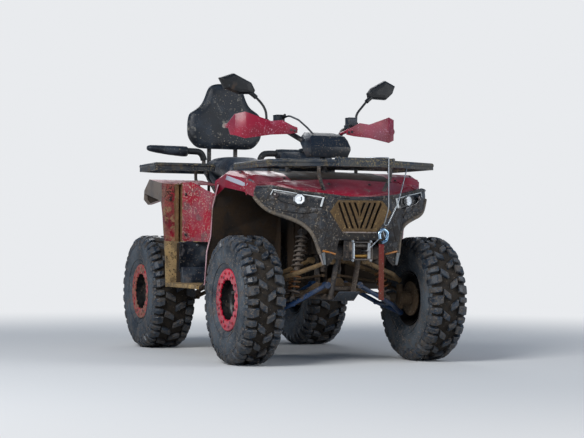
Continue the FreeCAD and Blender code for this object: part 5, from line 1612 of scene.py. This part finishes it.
@dataclass
class Racks:
    """Bolts of both cargo racks and the end caps of the front rack's bar."""

    front_z: float = 1072.0
    rear_z: float = 1120.0

    def build(self) -> None:
        """Make the bolts and the caps."""
        rows = [((x, y, self.front_z + 12), (0, 0, 1)) for x in (-300, -120, 120, 300) for y in (-150, 60)]
        rows += [((side * x, 1600, self.rear_z + 12), (0, 0, 1)) for side in (1, -1) for x in (270, 450)]
        bolts("rack_bolts", rows, BLACK_TUBE, 12.0)
        caps = []
        for sign in (1, -1):
            cap = prism(f"bar_cap_{sign}",
                        [(sign * x, y) for x, y in ((150, -389), (166, -383), (172, -352), (150, -346))],
                        self.front_z - 27, self.front_z + 24, "top")
            caps.append(cap)
        dress(with_bevel(merged("rack_bar_caps", caps), 5.0, 3), RACK_COAT)
        LOG.info("racks built")


@dataclass
class Suspension:
    """Helical springs in two paints."""

    radius: float = 28.0
    wire: float = 5.0
    shocks: tuple[tuple[Point, Point], ...] = (((282.0, -54.0, 346.0), (196.0, -6.0, 706.0)),
                                               ((300.0, 1368.0, 335.0), (206.0, 1368.0, 760.0)))

    def coil(self, name: str, low: Point, high: Point, share: Pair, turns: float) -> Piece:
        """Part of a spring between two shares of the shock's length."""
        start, end = at(*low), at(*high)
        axis = (end - start).normalized()
        length = (end - start).length
        across = axis.orthogonal().normalized()
        other = axis.cross(across)
        count = int(turns * 14)
        points = []
        for step in range(count + 1):
            angle = 2 * math.pi * turns * step / count
            along = length * (share[0] + (share[1] - share[0]) * step / count)
            round_axis = across * math.cos(angle) + other * math.sin(angle)
            points.append(start + axis * along + round_axis * self.radius * MM)
        return bar(name, points, self.wire, True, 3)

    def build(self) -> None:
        """Make the lower and the upper part of each spring."""
        for row, (low, high) in enumerate(self.shocks):
            end = "front" if row == 0 else "rear"
            for side in Side:
                foot, head = ((side.value * x, y, z) for x, y, z in (low, high))
                for name, finish, share, turns in (("low", SPRING_RUST, (0.135, 0.43), 4.0),
                                                   ("high", SPRING_GREY, (0.46, 0.885), 6.0)):
                    piece = self.coil(f"spring_{name}_{end}_{side.tag}", foot, head, share, turns)
                    dress(piece, finish)
                    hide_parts("springs")
        LOG.info("suspension built")


@dataclass
class Winch:
    """The fairlead's rollers and bolts and the latch of the hook."""

    roller: float = 9.8
    cross_roller: float = 9.7

    def rollers(self) -> None:
        """Bright vertical rollers, grey upper one and brass lower one."""
        rows = (("roller_left", (46, -320, 567), (46, -320, 649), self.roller, ZINC_STEEL),
                ("roller_right", (-46, -320, 567), (-46, -320, 649), self.roller, ZINC_STEEL),
                ("roller_top", (-56, -306, 636), (56, -306, 636), self.cross_roller, SPRING_GREY),
                ("roller_low", (-56, -306, 580), (56, -306, 580), self.cross_roller, BRASS_ROLLER))
        for name, low, high, radius, finish in rows:
            piece = bar(name, [at(*low), at(*high)], radius, False, 8)
            dress(piece, finish)

    def build(self) -> None:
        """Make the winch's pieces."""
        self.rollers()
        rows = [((x, -331, z), (0, -1, 0)) for x in (-52, 52) for z in (557, 657)]
        bolts("fairlead_bolts", rows, ZINC_STEEL, 10.0)
        line = [at(112, -345, 718), at(118, -345, 700), at(132, -345, 672)]
        dress(bar("hook_latch", line, 2.4, True, 3), ZINC_STEEL)
        LOG.info("winch built")


# ---- cockpit


@dataclass
class Cockpit:
    """On the handlebar: pod, guards, mirrors, grips, reservoir lids and the cable's boot."""

    def guards(self) -> None:
        """Guards with their bolts."""
        shell_of("hand_guards", "guard_shells", CRIMSON_CLEAN, 1.5, "steering")
        rows = [((side * x, y, z), (-side * 0.15, -1, 0)) for side in (1, -1)
                for x, y, z in ((164, 187, 1266), (184, 190, 1270))]
        bolts("guard_bolts", rows, BLACK_TUBE, 11.0, "steering")

    def mirrors(self) -> None:
        """Mirrors: a domed housing on a thick neck and a bent stem, glass to the rider."""
        heads = {
            Side.LEFT: ((543, 1557), (478, 1587), (392, 1540), (366, 1508), (374, 1477), (484, 1474),
                        (526, 1512)),
            Side.RIGHT: ((545, 1557), (460, 1587), (352, 1538), (328, 1494), (338, 1474), (430, 1472),
                         (512, 1500)),
        }
        for side, head in heads.items():
            sign, tag = side.value, side.tag
            middle = (sum(x for x, _ in head) / len(head), sum(z for _, z in head) / len(head))

            def loop(share: float, y: float) -> list[Vector]:
                """The head's outline at a depth, drawn in to a share of its size."""
                return [at(sign * (middle[0] + (x - middle[0]) * share), y,
                           middle[1] + (z - middle[1]) * share) for x, z in head]

            shell = lofted("housing", [loop(0.45, 346), loop(0.8, 350), loop(0.96, 362), loop(1.0, 378),
                                       loop(1.0, 388), loop(0.9, 388), loop(0.88, 384)], smooth=False)
            inner = (middle[0] - 66, middle[1] - 34)
            neck = bar("neck", [at(sign * (inner[0] + 30), 368, inner[1] + 12),
                                at(sign * inner[0], 366, inner[1]),
                                at(sign * (inner[0] - 32), 358, inner[1] - 30)], 12.5, True, 5)
            stem = bar("stem", [at(sign * 276, 330, 1316), at(sign * 276, 330, 1352),
                                at(sign * 280, 334, 1384), at(sign * (inner[0] - 60), 350, inner[1] - 58),
                                at(sign * (inner[0] - 20), 362, inner[1] - 18)], 6.8, True, 5)
            foot = bar("stem_nut", [at(sign * 276, 330, 1316), at(sign * 276, 330, 1334)], 12.0, False, 5)
            piece = merged(f"mirror_{tag}", [with_bevel(shell, 2.5, 2, 25.0), neck, stem, foot])
            dress(piece, MIRROR_PP, "steering")
            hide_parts("mirrors")
            glass = lofted(f"mirror_glass_{tag}", [loop(0.89, 384.5), loop(0.885, 386.0)], smooth=False)
            dress(glass, MIRROR_GLASS, "steering")

    def grips(self) -> None:
        """Ribbed grips with a pale end weight."""
        for side in Side:
            sign = side.value
            rib = turned(f"grip_{side.tag}", [(0.0, 17.0), (1.5, 19.6), (5.5, 19.6), (7.0, 17.0)], 28)
            ribs = repeated(rib, 16, step=(8.6, 0.0, 0.0))
            ribs.data.transform(Matrix.Rotation(math.radians(6.4), 4, "Z"))
            placed(ribs, at(348, 334.7, 1289.2))
            if side is Side.RIGHT:
                placed(ribs, Vector((0.0, 0.0, 0.0)), mirror=True)
            dress(ribs, GRIP_RUBBER, "steering")
            line = [at(sign * 500, 350, 1290), at(sign * 524, 338, 1291)]
            tip = with_bevel(bar(f"bar_end_{side.tag}", line, 14.5, False, 6), 2.0)
            dress(tip, PALE_TRIM_AND_HIGHLIGHT, "steering")

    def pod(self) -> None:
        """Instrument pod with rounded edges."""
        pod = shell_of("instrument_pod", "pod_shell", BLACK_ABS, 9.0, "steering")
        painted(pod, GRIP_RUBBER, lambda middle, normal: normal.z > 0.6)

    def small_parts(self) -> None:
        """Reservoir lids and the boot of the throttle cable."""
        for side in Side:
            sign = side.value
            outline = [(sign * x, y) for x, y in ((194, 256), (248, 256), (248, 308), (194, 308))]
            lid = prism(f"reservoir_lid_{side.tag}", outline, 1350, 1357, "top")
            dress(with_bevel(lid, 3.0), BLACK_ABS, "steering")
        boot = turned("throttle_boot", [(0.0, 4.6), (0.0, 8.5), (26.0, 7.5), (30.0, 5.0)], 20)
        boot.data.transform(Vector((0.1, -0.7, 0.6)).to_track_quat("X", "Z").to_matrix().to_4x4())
        placed(boot, at(-205, 262, 1338))
        dress(boot, GRIP_RUBBER, "steering")

    def build(self) -> None:
        """Make every part of the cockpit."""
        self.pod()
        self.guards()
        self.mirrors()
        self.grips()
        self.small_parts()
        LOG.info("cockpit built")


def main() -> None:
    """Build every sub-assembly in order."""
    logging.basicConfig(level=logging.INFO, format="%(message)s")
    Studio().build()
    Carried().build()
    for assembly in (Nose(), Fascia(), InnerShrouds(), Footwells(), RearFenders(), CentreBody(), Racks(),
                     Suspension(), Winch(), Cockpit(), Seats()):
        assembly.build()
    for axle in Axle:
        for side in Side:
            Wheel(axle, side).build()


if __name__ == "__main__":
    main()
